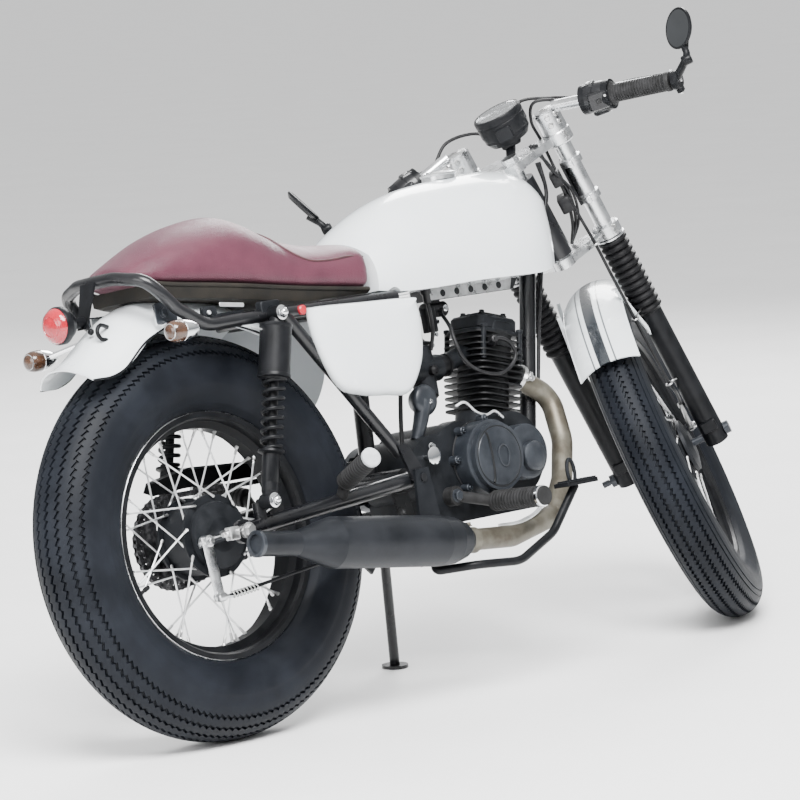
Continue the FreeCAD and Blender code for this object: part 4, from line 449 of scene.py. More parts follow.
def mesh_of(name, form, at, sharp=35):
    mesh = bpy.data.meshes.new(name)
    mesh.from_pydata([at @ p for p in form.v], [], form.f)
    return dress(mesh, sharp, WELD)


def piece(name, form, look, body="chassis", at=bike, sharp=35, replaces=()):
    return link_object(name, mesh_of(name, form, at, sharp), look, body, replaces)


def on_fork(name, form, look, sharp=35, replaces=()):
    return piece(name, form, look, "steering", fork, sharp, replaces)


# Tyres: round crown with saw-tooth and plain grooves, shoulders and a sidewall down to the rim

BULGE_SHARE, BEAD_SHARE = 0.95, 0.64
BEAD_LIFT = 3.5
GROOVE_SLOPE = 0.7
RING_EDGE, RING_FLOOR, RING_DEPTH = 1.5, 1.0, 2.2
SHOULDER_LINES, WALL_STEPS = 5, 14
WALL_RIDGES, RIDGE_HEIGHT = (2, 4, 11, 12), 0.9
BEAD_INSET = 5.0


def sidewall(radius, half, rim):
    """Points of the arc from the crown's edge through the bulge to the bead, outward half."""
    a = np.array([half, radius - half])
    b = np.array([half * BULGE_SHARE, (radius - half + rim) / 2])
    c = np.array([half * BEAD_SHARE, rim + BEAD_LIFT])
    centre, r = circle_through(a, b, c)
    start = math.atan2(*(a - centre)[::-1])
    end = math.atan2(*(c - centre)[::-1])
    wall = []
    for k in range(1, WALL_STEPS + 1):
        a = start + (end - start) * k / WALL_STEPS
        reach = r + (RIDGE_HEIGHT if k in WALL_RIDGES else 0.0)
        wall.append((centre[0] + reach * math.cos(a), centre[1] + reach * math.sin(a)))
    inner = half * BEAD_SHARE - BEAD_INSET
    return wall + [(inner, rim + 0.4), (inner * 0.6, rim - 1)]


def tread_lines(half, grooves, width, depth, tooth, rings):
    """Lines round the crown: place across it, depth, and share of the saw's sway."""
    lines = []
    for s in grooves:
        lines += [(s - width / 2, 0, 1), (s - width / 2 + GROOVE_SLOPE, depth, 1),
                  (s + width / 2 - GROOVE_SLOPE, depth, 1), (s + width / 2, 0, 1)]
    for a, b in zip(grooves[:-1], grooves[1:]):
        lines += [(a + (b - a) * k, 0, 0.5) for k in (0.42, 0.58)]
    edge = grooves[-1] + tooth * 0.5
    for s in rings:
        for side in SIDES:
            lines += [(side * (s - RING_EDGE), 0, 0), (side * (s - RING_FLOOR), RING_DEPTH, 0),
                      (side * (s + RING_FLOOR), RING_DEPTH, 0), (side * (s + RING_EDGE), 0, 0)]
        edge = s
    for s in np.linspace(edge + width / 2 + 1.5, half * math.pi / 2 - 1.5, SHOULDER_LINES):
        lines += [(-s, 0, 0), (s, 0, 0)]
    return sorted(lines)


def tyre(name, node_name, body, at, radius, half, rim, grooves, width, depth, tooth, per_tooth,
         rings=(), count=720):
    saw = (np.arange(count) % per_tooth) / (per_tooth - 1) * tooth - tooth / 2
    angle = 2 * math.pi * np.arange(count) / count
    rows = []
    for s, down, sway in tread_lines(half, grooves, width, depth, tooth, rings):
        phi = (s + saw * sway) / half
        rows.append(((half - down) * np.sin(phi), radius - half + (half - down) * np.cos(phi)))
    wall = sidewall(radius, half, rim)
    ones = np.ones(count)
    rows = ([(-y * ones, r * ones) for y, r in wall[::-1]] + rows
            + [(y * ones, r * ones) for y, r in wall])
    co = np.stack([np.stack([r * np.cos(angle), y, r * np.sin(angle)], -1) for y, r in rows])
    m = np.array(at)
    co = co.reshape(-1, 3) @ m[:3, :3].T + m[:3, 3]
    k = np.arange(len(rows) - 1)[:, None] * count
    i = np.arange(count)[None, :]
    j = (i + 1) % count
    quads = np.stack([k + i, k + j, k + count + j, k + count + i], -1).reshape(-1, 4)
    mesh = bpy.data.meshes.new(name)
    mesh.from_pydata(co.tolist(), [], quads.tolist())
    return link_object(name, dress(mesh, 32), "tyre_rubber", body, (node_name,))


tyre("rear_treaded_tyre", "rear_tyre", "rear_wheel", rear_wheel, 341.8, 66, 208,
     [-73, -52, -31, -10, 10, 31, 52, 73], width=5.4, depth=4.5, tooth=6, per_tooth=5)
tyre("front_treaded_tyre", "front_tyre", "front_wheel", front_wheel, 334.8, 50, 233,
     [-30, -10, 10, 30], width=6.4, depth=5, tooth=5.5, per_tooth=4, rings=(46, 57))


# Wheels: rolled rim lips, spoke nipples, valve stems and hub ribs

def rim_lips(rim, edge):
    lips = Form()
    for side in SIDES:
        lips.lathe(V(0, 0, 0), Y, [(side * (edge - 3.5 + 2.6 * math.cos(a)),
                                    rim - 1.0 + 2.6 * math.sin(a)) for a in turn(10)], 144, True)
    return lips


def spoke_nipples(rim, hub_radius, hub_half):
    nipples = Form()
    start_radius, end_radius = hub_radius + 4, rim - 24.5
    for side in SIDES:
        flange = side * (hub_half - 2.5)
        for i in range(18):
            cross = 1 if i % 2 else -1
            middle = 2 * math.pi * (i // 2) / 9 + math.pi / 18 * side / 2
            a = middle + cross * math.radians(31)
            b = middle - cross * math.pi / 36
            p = V(start_radius * math.cos(a), flange + cross * 5.7, start_radius * math.sin(a))
            q = V(end_radius * math.cos(b), side * 6.5, end_radius * math.sin(b))
            way = (p - q).normalized()
            nipples.lathe(q - way, way, [(0, 3.6), (4, 3.4), (5, 2.6), (15, 2.4), (16, 1.8)], 8)
            nipples.lathe(p, q - p, [(-3, 1.2), (-1, 3.0), (4, 2.6), (9, 1.8)], 8)
    return nipples


def valve_stem(rim, degrees):
    a = math.radians(degrees)
    out = V(math.cos(a), 0, math.sin(a))
    return Form().lathe(out * (rim - 22), -out, [(-2, 5), (2, 5), (4, 3.4), (26, 3.2), (27, 4.2),
                                                 (36, 4.2), (38, 3)], 14)


def hub_ribs(hub_radius, hub_half):
    ribs = Form()
    for side in SIDES:
        for r0, r1, w in ((16, 24, 2.0), (hub_radius * 0.62, hub_radius * 0.7, 1.6),
                          (hub_radius * 0.86, hub_radius * 0.92, 1.6)):
            ribs.lathe(V(0, side * (hub_half - 0.2), 0), Y * side,
                       [(0, r0), (w, r0 + 0.6), (w, r1 - 0.6), (0, r1)], 72, True)
    return ribs


for tag, at, rim, edge, hub_radius, hub_half, degrees in (
        ("rear", rear_wheel, 208, 42.2, 62, 34, 205), ("front", front_wheel, 233, 32.0, 58, 30, 245)):
    body = tag + "_wheel"
    piece(tag + "_rim_lips", rim_lips(rim, edge), "brushed_alloy", body, at, 60)
    piece(tag + "_spoke_nipples", spoke_nipples(rim, hub_radius, hub_half), "zinc_steel", body, at)
    piece(tag + "_valve", valve_stem(rim, degrees), "cord_black", body, at)
    piece(tag + "_hub_ribs", hub_ribs(hub_radius, hub_half), "cast_dark", body, at)


# Seat: padded leather over a base, with piping round the nose panel, and a dark pan under it that is
# painted shade
# Table: share of the length, of the half width, and of the rise of bottom, side and crown

SEAT = [(0.000, 1.06, 0.05, 0.78, 1.00), (0.190, 1.04, 0.16, 0.80, 1.08),
        (0.300, 1.02, 0.23, 0.88, 1.24), (0.370, 1.00, 0.28, 1.00, 1.40),
        (0.440, 1.00, 0.33, 1.14, 1.61), (0.530, 0.98, 0.40, 1.26, 1.75),
        (0.670, 0.93, 0.50, 1.24, 1.68), (0.790, 0.87, 0.58, 1.14, 1.52),
        (0.880, 0.80, 0.66, 1.04, 1.32), (1.000, 0.62, 0.84, 0.92, 0.99)]
SEAT_NOSE, SEAT_LENGTH, SEAT_BASE, SEAT_RISE = 396, 527, 701.3, 98.7
SEAT_LOW, SEAT_HIGH, SEAT_BULGE = 103.7, 97.2, 106.8
SEAT_INSET, SEAT_ROUND = 4.0, 9
VOXEL, SWELL, PRESSURE, CLOTH_FRAMES = 0.0055, 0.0045, 4, 20


def arc(a, b, c, count):
    """Places from a up to c on the circle through a, b and c."""
    a, b, c = (np.array(p, float) for p in (a, b, c))
    found = circle_through(a, b, c)
    if found is None:
        return [a + (c - a) * k / count for k in range(count)]
    centre, r = found
    t0, t1, t2 = (math.atan2(*(p - centre)[::-1]) for p in (a, b, c))
    t1 = t0 + math.remainder(t1 - t0, 2 * math.pi)
    t2 = t1 + math.remainder(t2 - t1, 2 * math.pi)
    angles = [t0 + (t2 - t0) * k / count for k in range(count)]
    return [centre + r * np.array([math.cos(t), math.sin(t)]) for t in angles]


def seat_ring(t):
    """Closed ring across the seat: flat bottom, bulged sides and a crowned top."""
    _, half, bottom, side, crown = through(SEAT, t)
    near_end = max(0.0, SEAT_ROUND - min(t, 1 - t) * SEAT_LENGTH)
    inset = SEAT_INSET + near_end ** 2 * 0.06
    low, high, bulge = (half * w - inset for w in (SEAT_LOW, SEAT_HIGH, SEAT_BULGE))
    z0, z1, z2 = (SEAT_BASE + share * SEAT_RISE for share in (bottom, side, crown))
    z0, z1, z2 = z0 + inset, z1 - inset * 0.6, z2 - inset
    middle = (z0 + z1) / 2
    ring = [np.array([-low + 2 * low * k / 8, z0]) for k in range(8)]
    ring += arc((low, z0), (bulge, middle), (high, z1), 9)
    ring += arc((high, z1), (0, z2), (-high, z1), 22)
    ring = np.array(ring + arc((-high, z1), (-bulge, middle), (-low, z0), 9))
    for _ in range(2):
        ring = ring * 0.6 + (np.roll(ring, 1, 0) + np.roll(ring, -1, 0)) * 0.2
    x = SEAT_NOSE - SEAT_INSET - t * (SEAT_LENGTH - 2 * SEAT_INSET)
    return [V(x, y, z) for y, z in ring]


def add_modifier(thing, kind, **settings):
    made = thing.modifiers.new(kind.lower(), kind)
    for key, value in settings.items():
        setattr(made, key, value)
    return made


def swell(thing):
    """Inflates the cover with a cloth simulation, each point by a limited distance."""
    start = np.array([v.co for v in thing.data.vertices])
    cloth = add_modifier(thing, "CLOTH")
    cloth.settings.use_pressure = True
    cloth.settings.uniform_pressure_force = PRESSURE
    cloth.settings.effector_weights.gravity = 0
    cloth.settings.quality = 5
    cloth.settings.tension_stiffness = 18
    cloth.settings.compression_stiffness = 18
    cloth.settings.bending_stiffness = 1.2
    for number in range(1, CLOTH_FRAMES + 1):
        bpy.context.scene.frame_set(number)
    bpy.ops.object.modifier_apply(modifier=cloth.name)
    bpy.context.scene.frame_set(1)
    move = np.array([v.co for v in thing.data.vertices]) - start
    size = np.linalg.norm(move, axis=1, keepdims=True)
    move *= np.minimum(1, SWELL / np.maximum(size, 1e-9))
    thing.data.vertices.foreach_set("co", (start + move).ravel())
    thing.data.update()


def padded_seat():
    mesh = mesh_of("draft", Form().loft([seat_ring(k / 60) for k in range(61)]), bike)
    thing = bpy.data.objects.new("draft", mesh)
    bpy.context.scene.collection.objects.link(thing)
    bpy.context.view_layer.objects.active = thing
    thing.select_set(True)
    remesh = add_modifier(thing, "REMESH", mode="VOXEL", voxel_size=VOXEL)
    bpy.ops.object.modifier_apply(modifier=remesh.name)
    swell(thing)
    for kind, settings in (("SMOOTH", {"factor": 0.5, "iterations": 6}), ("SUBSURF", {"levels": 1})):
        bpy.ops.object.modifier_apply(modifier=add_modifier(thing, kind, **settings).name)
    mesh = thing.data
    mesh.polygons.foreach_set("use_smooth", [True] * len(mesh.polygons))
    bpy.data.objects.remove(thing)
    mesh.name = "seat_cushion"
    thing = link_object("seat_cushion", mesh, "burgundy_leather", "chassis", ("seat",))
    return thing


cushion = padded_seat()
seat_skin = BVHTree.FromPolygons([v.co for v in cushion.data.vertices],
                                 [p.vertices[:] for p in cushion.data.polygons])


def on_seat(x, y, lift=0.6):
    """The place on the cushion's top above x and y, a little proud of it."""
    start, way = bike @ V(x, y, 1000), (bike.to_3x3() @ -Z).normalized()
    hit = seat_skin.ray_cast(start, way)[0]
    return bike.inverted() @ hit + Z * lift if hit else V(x, y, 780)


def seat_edge(t):
    """Place along the seat, share of its half width and height of its lower edge."""
    _, half, bottom, _, _ = through(SEAT, t)
    return SEAT_NOSE - t * SEAT_LENGTH, half, SEAT_BASE + bottom * SEAT_RISE


def seat_trim():
    nose = [(388, 96), (350, 98), (310, 98), (270, 97), (245, 93), (225, 84), (211, 66),
            (204, 42), (201, 20), (200, 0)]
    line = [on_seat(x, -y) for x, y in nose] + [on_seat(x, y) for x, y in nose[-2::-1]]
    piece("seat_piping", Form().tube(line, 2.2, 10, 5), "dark_piping", sharp=70)
    lower_edge = Form()
    for side in SIDES:
        line = []
        for k in range(31):
            x, half, z = seat_edge(0.03 + 0.9 * k / 30)
            line.append(V(x, side * (half * SEAT_LOW - 4), z + 2.5))
        lower_edge.tube(line, 4.2, 10, 2)
    piece("seat_base_edge", lower_edge, "seat_base_and_shade", sharp=70)
    # Painted shade: a dark pan hung under the seat, darkening the fender beneath it
    rings = []
    for k in range(27):
        x, half, z = seat_edge(0.03 + 0.88 * k / 26)
        low, wide = max(SEAT_BASE + 1.2, z - 22), half * 101
        rings.append([V(x, a * wide, b) for a, b in ((-1, z + 1), (-0.97, low + 2), (-0.9, low),
                                                     (0.9, low), (0.97, low + 2), (1, z + 1))])
    piece("underseat_shade_pan", Form().loft(rings), "seat_base_and_shade")


seat_trim()


# Side covers: pillowed panels, one each side, their outline in shares of length and height

COVER_FRONT, COVER_TOP, COVER_LENGTH, COVER_HEIGHT = 466, 694, 258, 170
COVER_SHARES = [(0.21, 1), (0.05, 0.70), (0, 0.32), (0.012, 0.10), (0.05, 0.055), (0.5, 0.03),
                (0.95, 0.012), (0.995, 0.06), (0.97, 0.39), (0.84, 0.83), (0.64, 0.955),
                (0.42, 0.995)]
COVER_RINGS = [(0.93, 119), (0.985, 119.5), (1.0, 122), (1.0, 127), (0.985, 131.5), (0.955, 135.5),
               (0.91, 138.6), (0.84, 141.2), (0.72, 143.2), (0.55, 144.0), (0.35, 144.3),
               (0.15, 144.4), (0.0, 144.4)]


def side_covers():
    outer = closed_curve([Vector((COVER_FRONT - a * COVER_LENGTH, COVER_TOP - b * COVER_HEIGHT))
                          for a, b in COVER_SHARES], 6)
    mid = Vector((352, 622))
    covers = Form()
    for side in SIDES:
        covers.loft([[V(mid.x + (p.x - mid.x) * t, side * y, mid.y + (p.y - mid.y) * t)
                      for p in outer] for t, y in COVER_RINGS])
    piece("side_cover_panels", covers, "white_paint", sharp=50, replaces=("side_covers",))


side_covers()


# Rear springs: wound coils over the damper rod, collars and the eyes' nuts

SHOCK_TOP, SHOCK_LOW, SHOCK_SIDE = (133, 690), (44, 384), 132
COIL_TURNS, COIL_STEPS, COIL_RADIUS = 7.5, 24, 16.2


def rear_springs():
    coils, trims, nuts = Form(), Form(), Form()
    for side in SIDES:
        top, low = (V(x, SHOCK_SIDE * side, z) for x, z in (SHOCK_TOP, SHOCK_LOW))
        way = (low - top).normalized()
        length = (low - top).length
        u, v, w = basis(way)
        count = int(COIL_TURNS * COIL_STEPS)
        path = []
        for k in range(count + 1):
            a = 2 * math.pi * k / COIL_STEPS
            path.append(top + w * length * (0.345 + 0.385 * k / count)
                        + (u * math.cos(a) + v * math.sin(a)) * COIL_RADIUS)
        coils.tube(path, 3.9, 8, 1)
        coils.lathe(top, way, [(length * 0.33, 8), (length * 0.745, 8)], 16)
        for count, stations in (
                (40, [(0.055, 20), (0.062, 28), (0.075, 28), (0.08, 27.2)]),
                (40, [(0.325, 27.2), (0.33, 28), (0.345, 28), (0.35, 22), (0.36, 21)]),
                (40, [(0.73, 14), (0.732, 22), (0.745, 22.5), (0.755, 16)]),
                (32, [(0.755, 15), (0.9, 15.2), (0.92, 12)])):
            trims.lathe(top, way, [(length * share, r) for share, r in stations], count)
        out = Y * side
        for p in (top, low):
            nuts.lathe(p + out * 12.8, out, [(-1, 12), (1.5, 12.5), (2.2, 11)], 28)
            nuts.lathe(p + out * 14.5, out, [(0, 9.6), (5, 9.6), (6, 8.6)], 6)
            nuts.lathe(p + out * 20, out, [(0, 7.4), (3, 6.6), (5.4, 4), (6.2, 0)], 20)
    piece("shock_coils", coils, "satin_black", sharp=60, replaces=("shock_springs",))
    piece("shock_trims", trims, "satin_black")
    piece("shock_nuts", nuts, "bright_chrome")


rear_springs()


# Drive chain: plates and rollers round both sprockets, teeth on the rear one, and the guard

REAR_PITCH_RADIUS, FRONT_PITCH_RADIUS = 77.0, 31.0
DRIVE = V(458, 0, 386)
CHAIN_LINE, CHAIN_PITCH = 80, 12.7
PLATE_END, PLATE_WAIST, PLATE_WIDTH = 5.0, 3.7, 1.3
TOOTH_COUNT = 38


def chain_run():
    """The chain's length and a function for the place at a distance along its line."""
    rear = V(0, 0, REAR_RADIUS)
    span = (DRIVE - rear).length
    slope = math.atan2((DRIVE - rear).z, (DRIVE - rear).x)
    opening = math.acos((REAR_PITCH_RADIUS - FRONT_PITCH_RADIUS) / span)
    run = span * math.sin(opening)
    wrap = FRONT_PITCH_RADIUS * 2 * opening
    length = 2 * run + wrap + REAR_PITCH_RADIUS * (2 * math.pi - 2 * opening)

    def on_circle(centre, r, g, further=0.0):
        return V(centre.x + r * math.cos(g) + further * math.sin(g), CHAIN_LINE,
                 centre.z + r * math.sin(g) - further * math.cos(g))

    def place(s):
        s %= length
        if s < run:
            return on_circle(rear, REAR_PITCH_RADIUS, slope + opening, s)
        s -= run
        if s < wrap:
            return on_circle(DRIVE, FRONT_PITCH_RADIUS, slope + opening - s / FRONT_PITCH_RADIUS)
        s -= wrap
        if s < run:
            return on_circle(DRIVE, FRONT_PITCH_RADIUS, slope - opening, s)
        return on_circle(rear, REAR_PITCH_RADIUS, slope - opening - (s - run) / REAR_PITCH_RADIUS)

    return length, place


def plate_outline(reach):
    ends = [[(side * reach / 2 + PLATE_END * math.cos(a), PLATE_END * math.sin(a))
             for a in (math.radians(first + 30 * k) for k in range(7))]
            for side, first in ((1, -90), (-1, 90))]
    return ends[0] + [(0, PLATE_WAIST)] + ends[1] + [(0, -PLATE_WAIST)]


def drive_chain():
    length, place = chain_run()
    links = int(length / CHAIN_PITCH / 2) * 2
    plates, rollers = Form(), Form()
    for i in range(links):
        p, q = (place(k * length / links) for k in (i, i + 1))
        middle, off = (p + q) / 2, 4.6 if i % 2 else 3.2
        for y in (off, -off):
            plates.prism(plate_outline((q - p).length), middle + Y * (y - PLATE_WIDTH / 2), Y,
                         PLATE_WIDTH, 0.3, q - p)
        rollers.lathe(p - Y * 6.2, Y, [(0, 1.6), (1, 1.9), (2.8, 1.9), (3, 4.2), (9.4, 4.2),
                                       (9.6, 1.9), (11.4, 1.9), (12.4, 1.6)], 10)
    plates.add(rollers.v, rollers.f)
    piece("chain_links", plates, "chain_steel", replaces=("drive_chain",))


def rear_sprocket():
    teeth = Form()
    shape = [(-4.2, 62), (-3.6, 71), (-1.6, 77), (1.6, 77), (3.6, 71), (4.2, 62)]
    for a in turn(TOOTH_COUNT):
        out, tan = V(math.cos(a), 0, math.sin(a)), V(-math.sin(a), 0, math.cos(a))
        teeth.loft([[tan * x + out * r + Y * y for x, r in shape]
                    for y in (CHAIN_LINE - 2.5, CHAIN_LINE + 2.5)])
    for a in turn(6, 0.5):
        teeth.bolt(V(37 * math.cos(a), 83.2, 37 * math.sin(a)), Y, 10, 5)
    piece("sprocket_teeth", teeth, "chain_steel", "rear_wheel", rear_wheel)


def chain_guard():
    guard = Form()
    top = [(-20, 448), (60, 462), (240, 452), (372, 440)]
    face = [(-30, 432)] + top + [(396, 426), (396, 412), (240, 426), (60, 428), (-10, 424)]
    lip = top + [(x, z - 2.4) for x, z in top[::-1]]
    guard.loft([[V(x, y, z) for x, z in face] for y in (93.0, 95.2)])
    guard.loft([[V(x, y, z) for x, z in lip] for y in (69, 94)])
    for x, z in ((70, 440), (330, 434)):
        guard.slab(V(x, 100, z), (12, 14, 16), Z, X, 2, 1)
    piece("chain_guard", guard, "satin_black")
    nut = Form().lathe(DRIVE + Y * 84.5, Y, [(0, 24), (2, 24), (2.5, 12), (8, 11), (8.5, 8), (9, 0)])
    piece("drive_sprocket_nut", nut, "chain_steel")


drive_chain()
rear_sprocket()
chain_guard()


# Handlebar ends: grips, switch housings, levers and clamps

BAR_END = V(872, -330, 908)
OUT = (BAR_END - V(936, -106, 976)).normalized()
ACROSS = AHEAD.cross(OUT).normalized()
GRIP_FROM = BAR_END - OUT * 118
SWITCH_FROM = GRIP_FROM - OUT * 58
PERCH = SWITCH_FROM + OUT * 29 + AHEAD * 26
UPPER_YOKE, LOWER_YOKE = 655, 452


def ribs(count, step, points, first=0.0):
    """Stations of like ribs in a row, each given by the same pairs."""
    return [(first + k * step + along, r) for k in range(count) for along, r in points]


def grips():
    rubber = ribs(18, 5.4, [(0, 15.4), (0.9, 16.9), (3.6, 16.9), (4.5, 15.4)], 8)
    collar = [(-1, 11.2), (-1, 21.5), (0.5, 22.5), (3.5, 22.5), (5, 19), (7, 16.6)]
    tail = [(107, 16.2), (109, 18.2), (114, 18.2), (117, 17), (118.5, 11.2)]
    on_fork("ribbed_grips", Form().lathe(GRIP_FROM, OUT, collar + rubber + tail, 40).mirrored(),
            "grip_rubber", 40, ("grips",))


def switches():
    boxes = Form().lathe(SWITCH_FROM, OUT, [(-1, 14), (0, 22), (5, 27.4), (14, 28.3), (26, 28.8),
                                            (27.4, 28.8), (27.8, 28.0), (28.6, 28.0), (29, 28.8),
                                            (44, 28.4), (53, 26), (57, 22), (57.8, 16)], 40)
    boxes.slab(SWITCH_FROM + OUT * 30 - AHEAD * 25, (40, 34, 14), -AHEAD, OUT, 6, 3)
    boxes.slab(SWITCH_FROM + OUT * 28 - UP * 24, (36, 30, 14), -UP, OUT, 6, 3)
    boxes.slab(SWITCH_FROM + OUT * 22 + UP * 22, (26, 24, 16), UP, OUT, 5, 3)
    on_fork("switch_housings", boxes.mirrored(), "frame_black", 40)
    small = Form()
    for along, side in ((14, -1), (44, -1), (16, 1)):
        small.cap_screw(SWITCH_FROM + OUT * along - AHEAD * 31.5 + ACROSS * side * 9, -AHEAD, 2.6,
                        2.4)
    for along in (18, 40):
        small.cap_screw(SWITCH_FROM + OUT * along - UP * 30.6, -UP, 2.6, 2.4)
    small.lathe(SWITCH_FROM + OUT * 22 + UP * 29, UP, [(0, 5), (2, 5), (3, 4)], 16)
    for up in (684, 700):
        small.bolt(leg(up, -1, -24), -AHEAD, 9, 6)
        small.bolt(leg(up, -1, -19, -17), -AHEAD - Y * 0.9, 7, 5)
    for up in (UPPER_YOKE, LOWER_YOKE):
        for shift in (-5.5, 5.5):
            small.bolt(leg(up + shift, -1, -20, -15), -AHEAD - Y * 0.7, 8, 6)
    small.bolt(leg(708, -1), UP, 22, 4)
    on_fork("control_bolts", small.mirrored(), "zinc_steel")
    knobs = Form().slab(SWITCH_FROM + OUT * 29 - AHEAD * 33, (10, 8, 5), -AHEAD, OUT, 2, 1)
    on_fork("switch_knobs", knobs.mirrored(), "grip_rubber")


def levers():
    lever_end = BAR_END + AHEAD * 50
    blade = Form().tube([PERCH + AHEAD * 6, PERCH + AHEAD * 24 + OUT * 18,
                         PERCH + AHEAD * 26 + OUT * 70, lever_end - OUT * 30, lever_end + OUT * 2],
                        lambda t: 7.0 - 2.2 * t, 12, 6, flat=0.62)
    blade.lathe(lever_end - OUT * 4, OUT, [(0, 3), (2, 6), (5, 7.2), (8, 6), (10, 2)], 20)
    on_fork("hand_levers", blade.mirrored(), "brushed_alloy", 50)
    holder = Form().slab(PERCH + AHEAD * 4, (34, 24, 16), AHEAD, OUT, 6, 2)
    holder.lathe(PERCH + AHEAD * 12 - ACROSS * 10, ACROSS, [(0, 6), (20, 6), (21, 4)], 16)
    holder.lathe(PERCH + AHEAD * 10, -OUT, [(0, 6), (20, 6), (21, 8), (27, 8), (28, 5), (34, 4)], 16)
    on_fork("lever_perches", holder.mirrored(), "satin_black")


def bar_ends():
    tips = Form().lathe(BAR_END + OUT * 2.6, OUT, [(0, 10), (1, 17), (3, 18), (13, 18), (15, 16),
                                                   (15.5, 0)])
    tips.slab(BAR_END + OUT * 9 - UP * 19, (12, 14, 10), -UP, OUT, 2, 1)
    on_fork("bar_end_clamps", tips.mirrored(), "satin_black")
    bolts = Form().cap_screw(BAR_END + OUT * 18, OUT, 5, 3)
    bolts.bolt(BAR_END + OUT * 9 - UP * 24, -UP, 7, 4)
    on_fork("bar_end_bolts", bolts.mirrored(), "zinc_steel")


def fork_collars():
    collars = Form()
    for up in (520, 596):
        for side in SIDES:
            collars.lathe(leg(up - 0.6, side), UP, [(0, 17), (0.5, 21.6), (13.6, 21.6), (14.2, 17)],
                          36)
            collars.slab(leg(up + 6.5, side, -24), (14, 8, 12), -AHEAD, UP, 2, 1)
            collars.cap_screw(leg(up + 6.5, side, -29), -AHEAD, 3.2, 2.6)
    for side in SIDES:
        for up, stations in ((708, [(0, 21), (2, 21), (3, 14), (4, 0)]),
                             (436, [(-2, 24), (0, 28.4), (3, 28.4), (4, 20)]),
                             (441, [(0, 24.6), (2, 26.4), (21, 26.4), (23, 24)]),
                             (644, [(-2, 25), (0, 26.6), (21, 26.6), (23, 25)])):
            collars.lathe(leg(up, side), UP, stations, 36)
    stem = V(STEM_FOOT, 0, 0)
    collars.lathe(stem + UP * ((axle - stem).dot(UP) + UPPER_YOKE + 7), UP,
                  [(0, 22), (3, 22), (4, 17), (14, 16.5), (15.5, 12), (16, 0)], 6)
    on_fork("fork_collars", collars, "brushed_alloy")


grips()
switches()
levers()
bar_ends()
fork_collars()


# Gauge: cup, bezel, dial, marks with a needle, and glass

GAUGE = V(906, -13, 1004)


def gauge():
    cup = Form().lathe(GAUGE, UP, [(-52, 33), (-50, 38), (-44, 43), (-30, 46.4), (-12, 46.6),
                                   (-10, 45)], 56)
    cup.slab(GAUGE - UP * 54 - AHEAD * 8, (44, 38, 16), UP, AHEAD, 6, 2)
    cup.slab(GAUGE - UP * 30 - AHEAD * 44, (26, 30, 12), -AHEAD, UP, 4, 2)
    on_fork("gauge_cup", cup, "satin_black")
    for name, look, sharp, stations in (
            ("gauge_bezel", "satin_black", 35,
             [(-12, 45.6), (-10, 46.8), (0, 47), (3.5, 45), (3.6, 41), (0.4, 40.6)]),
            ("gauge_dial", "dial_face", 35, [(0.1, 40.8), (0.6, 40.6), (0.7, 0)]),
            ("gauge_marks", "pale_marks", 35, None),
            ("gauge_glass", "clear_glass", 60,
             [(2.6, 41), (3.4, 40.8), (4.4, 30), (5.2, 14), (5.4, 0)])):
        form = Form().lathe(GAUGE, UP, stations, 64) if stations else gauge_marks()
        on_fork(name, form, look, sharp)


def gauge_marks():
    marks = Form()
    u, v, _ = basis(UP, AHEAD)

    def spoke(degrees):
        a = math.radians(degrees)
        return u * math.cos(a) + v * math.sin(a)

    for k in range(31):
        way = spoke(-130 + 260 * k / 30)
        size, width = (3.6, 1.2) if k % 5 else (7.0, 1.8)
        marks.slab(GAUGE + UP * 1.0 + way * (37.5 - size / 2), (size, width, 0.5), UP, way, 0.4, 0.1)
    needle = spoke(-128)
    marks.slab(GAUGE + UP * 1.9 + needle * 12, (34, 1.8, 0.6), UP, needle, 0.6, 0.2)
    return marks.lathe(GAUGE + UP, UP, [(0, 4.5), (1.6, 4.5), (2.2, 3)], 20)


gauge()


# Mirrors: arms on the bar ends, with each head at its own place

def mirror(tag, side, head, facing):
    facing = facing.normalized()
    down = (facing * facing.z - Z).normalized()
    core = head - facing * 5
    foot = V(BAR_END.x, -BAR_END.y * side, BAR_END.z) + V(OUT.x, -OUT.y * side, OUT.z) * 8
    arm = Form().tube([foot, core + down * 57, core + down * 34], lambda t: 8.0 - 2.4 * t, 14, 6)
    arm.lathe(core + down * 62 - Y * 9, Y, [(0, 8), (2, 9.6), (16, 9.6), (18, 8)], 20)
    arm.tube([core + down * 44 - facing, core + down * 20 - facing * 4], lambda t: 6 + 3 * t, 14, 1)
    on_fork("mirror_arm_" + tag, arm, "satin_black", 50)
    glass = Form().lathe(head, facing, [(-0.3, 34.5), (0.5, 34), (0.7, 0)], 48)
    on_fork("mirror_glass_" + tag, glass, "mirror_face")
    rim = Form().lathe(head, facing, [(-4.4, 37.0), (-1, 38.0), (0, 37.8), (0.9, 36.6), (1.0, 34.6),
                                      (0, 34.2)], 48)
    on_fork("mirror_rim_" + tag, rim, "satin_black")


mirror("right", -1, V(842, -383, 984), V(-0.69, 0.67, 0.28))
mirror("left", 1, V(842, 372, 998), V(0.05, -0.92, 0.385))


# Front fork: drain screws, slider ends, brake arm, and the cords that the fork carries

BRAKE_FACE = -56.1
ARM_CAM, ARM_TIP = axle + V(12, BRAKE_FACE, 32), axle + V(26, BRAKE_FACE, 78)
GUIDES = [(452, -50, 66), (290, -58, 67), (136, -26, 64.5)]
CABLE_ROUTE = [(732, -2, 84), (700, 10, 60), (655, 14, 59), (590, -14, 60), (520, -36, 62),
               GUIDES[0], (380, -54, 66), GUIDES[1], (200, -48, 66), GUIDES[2], (98, 14, 63)]


def beside_leg(up, ahead, right):
    return leg(up, 0, ahead, -right)


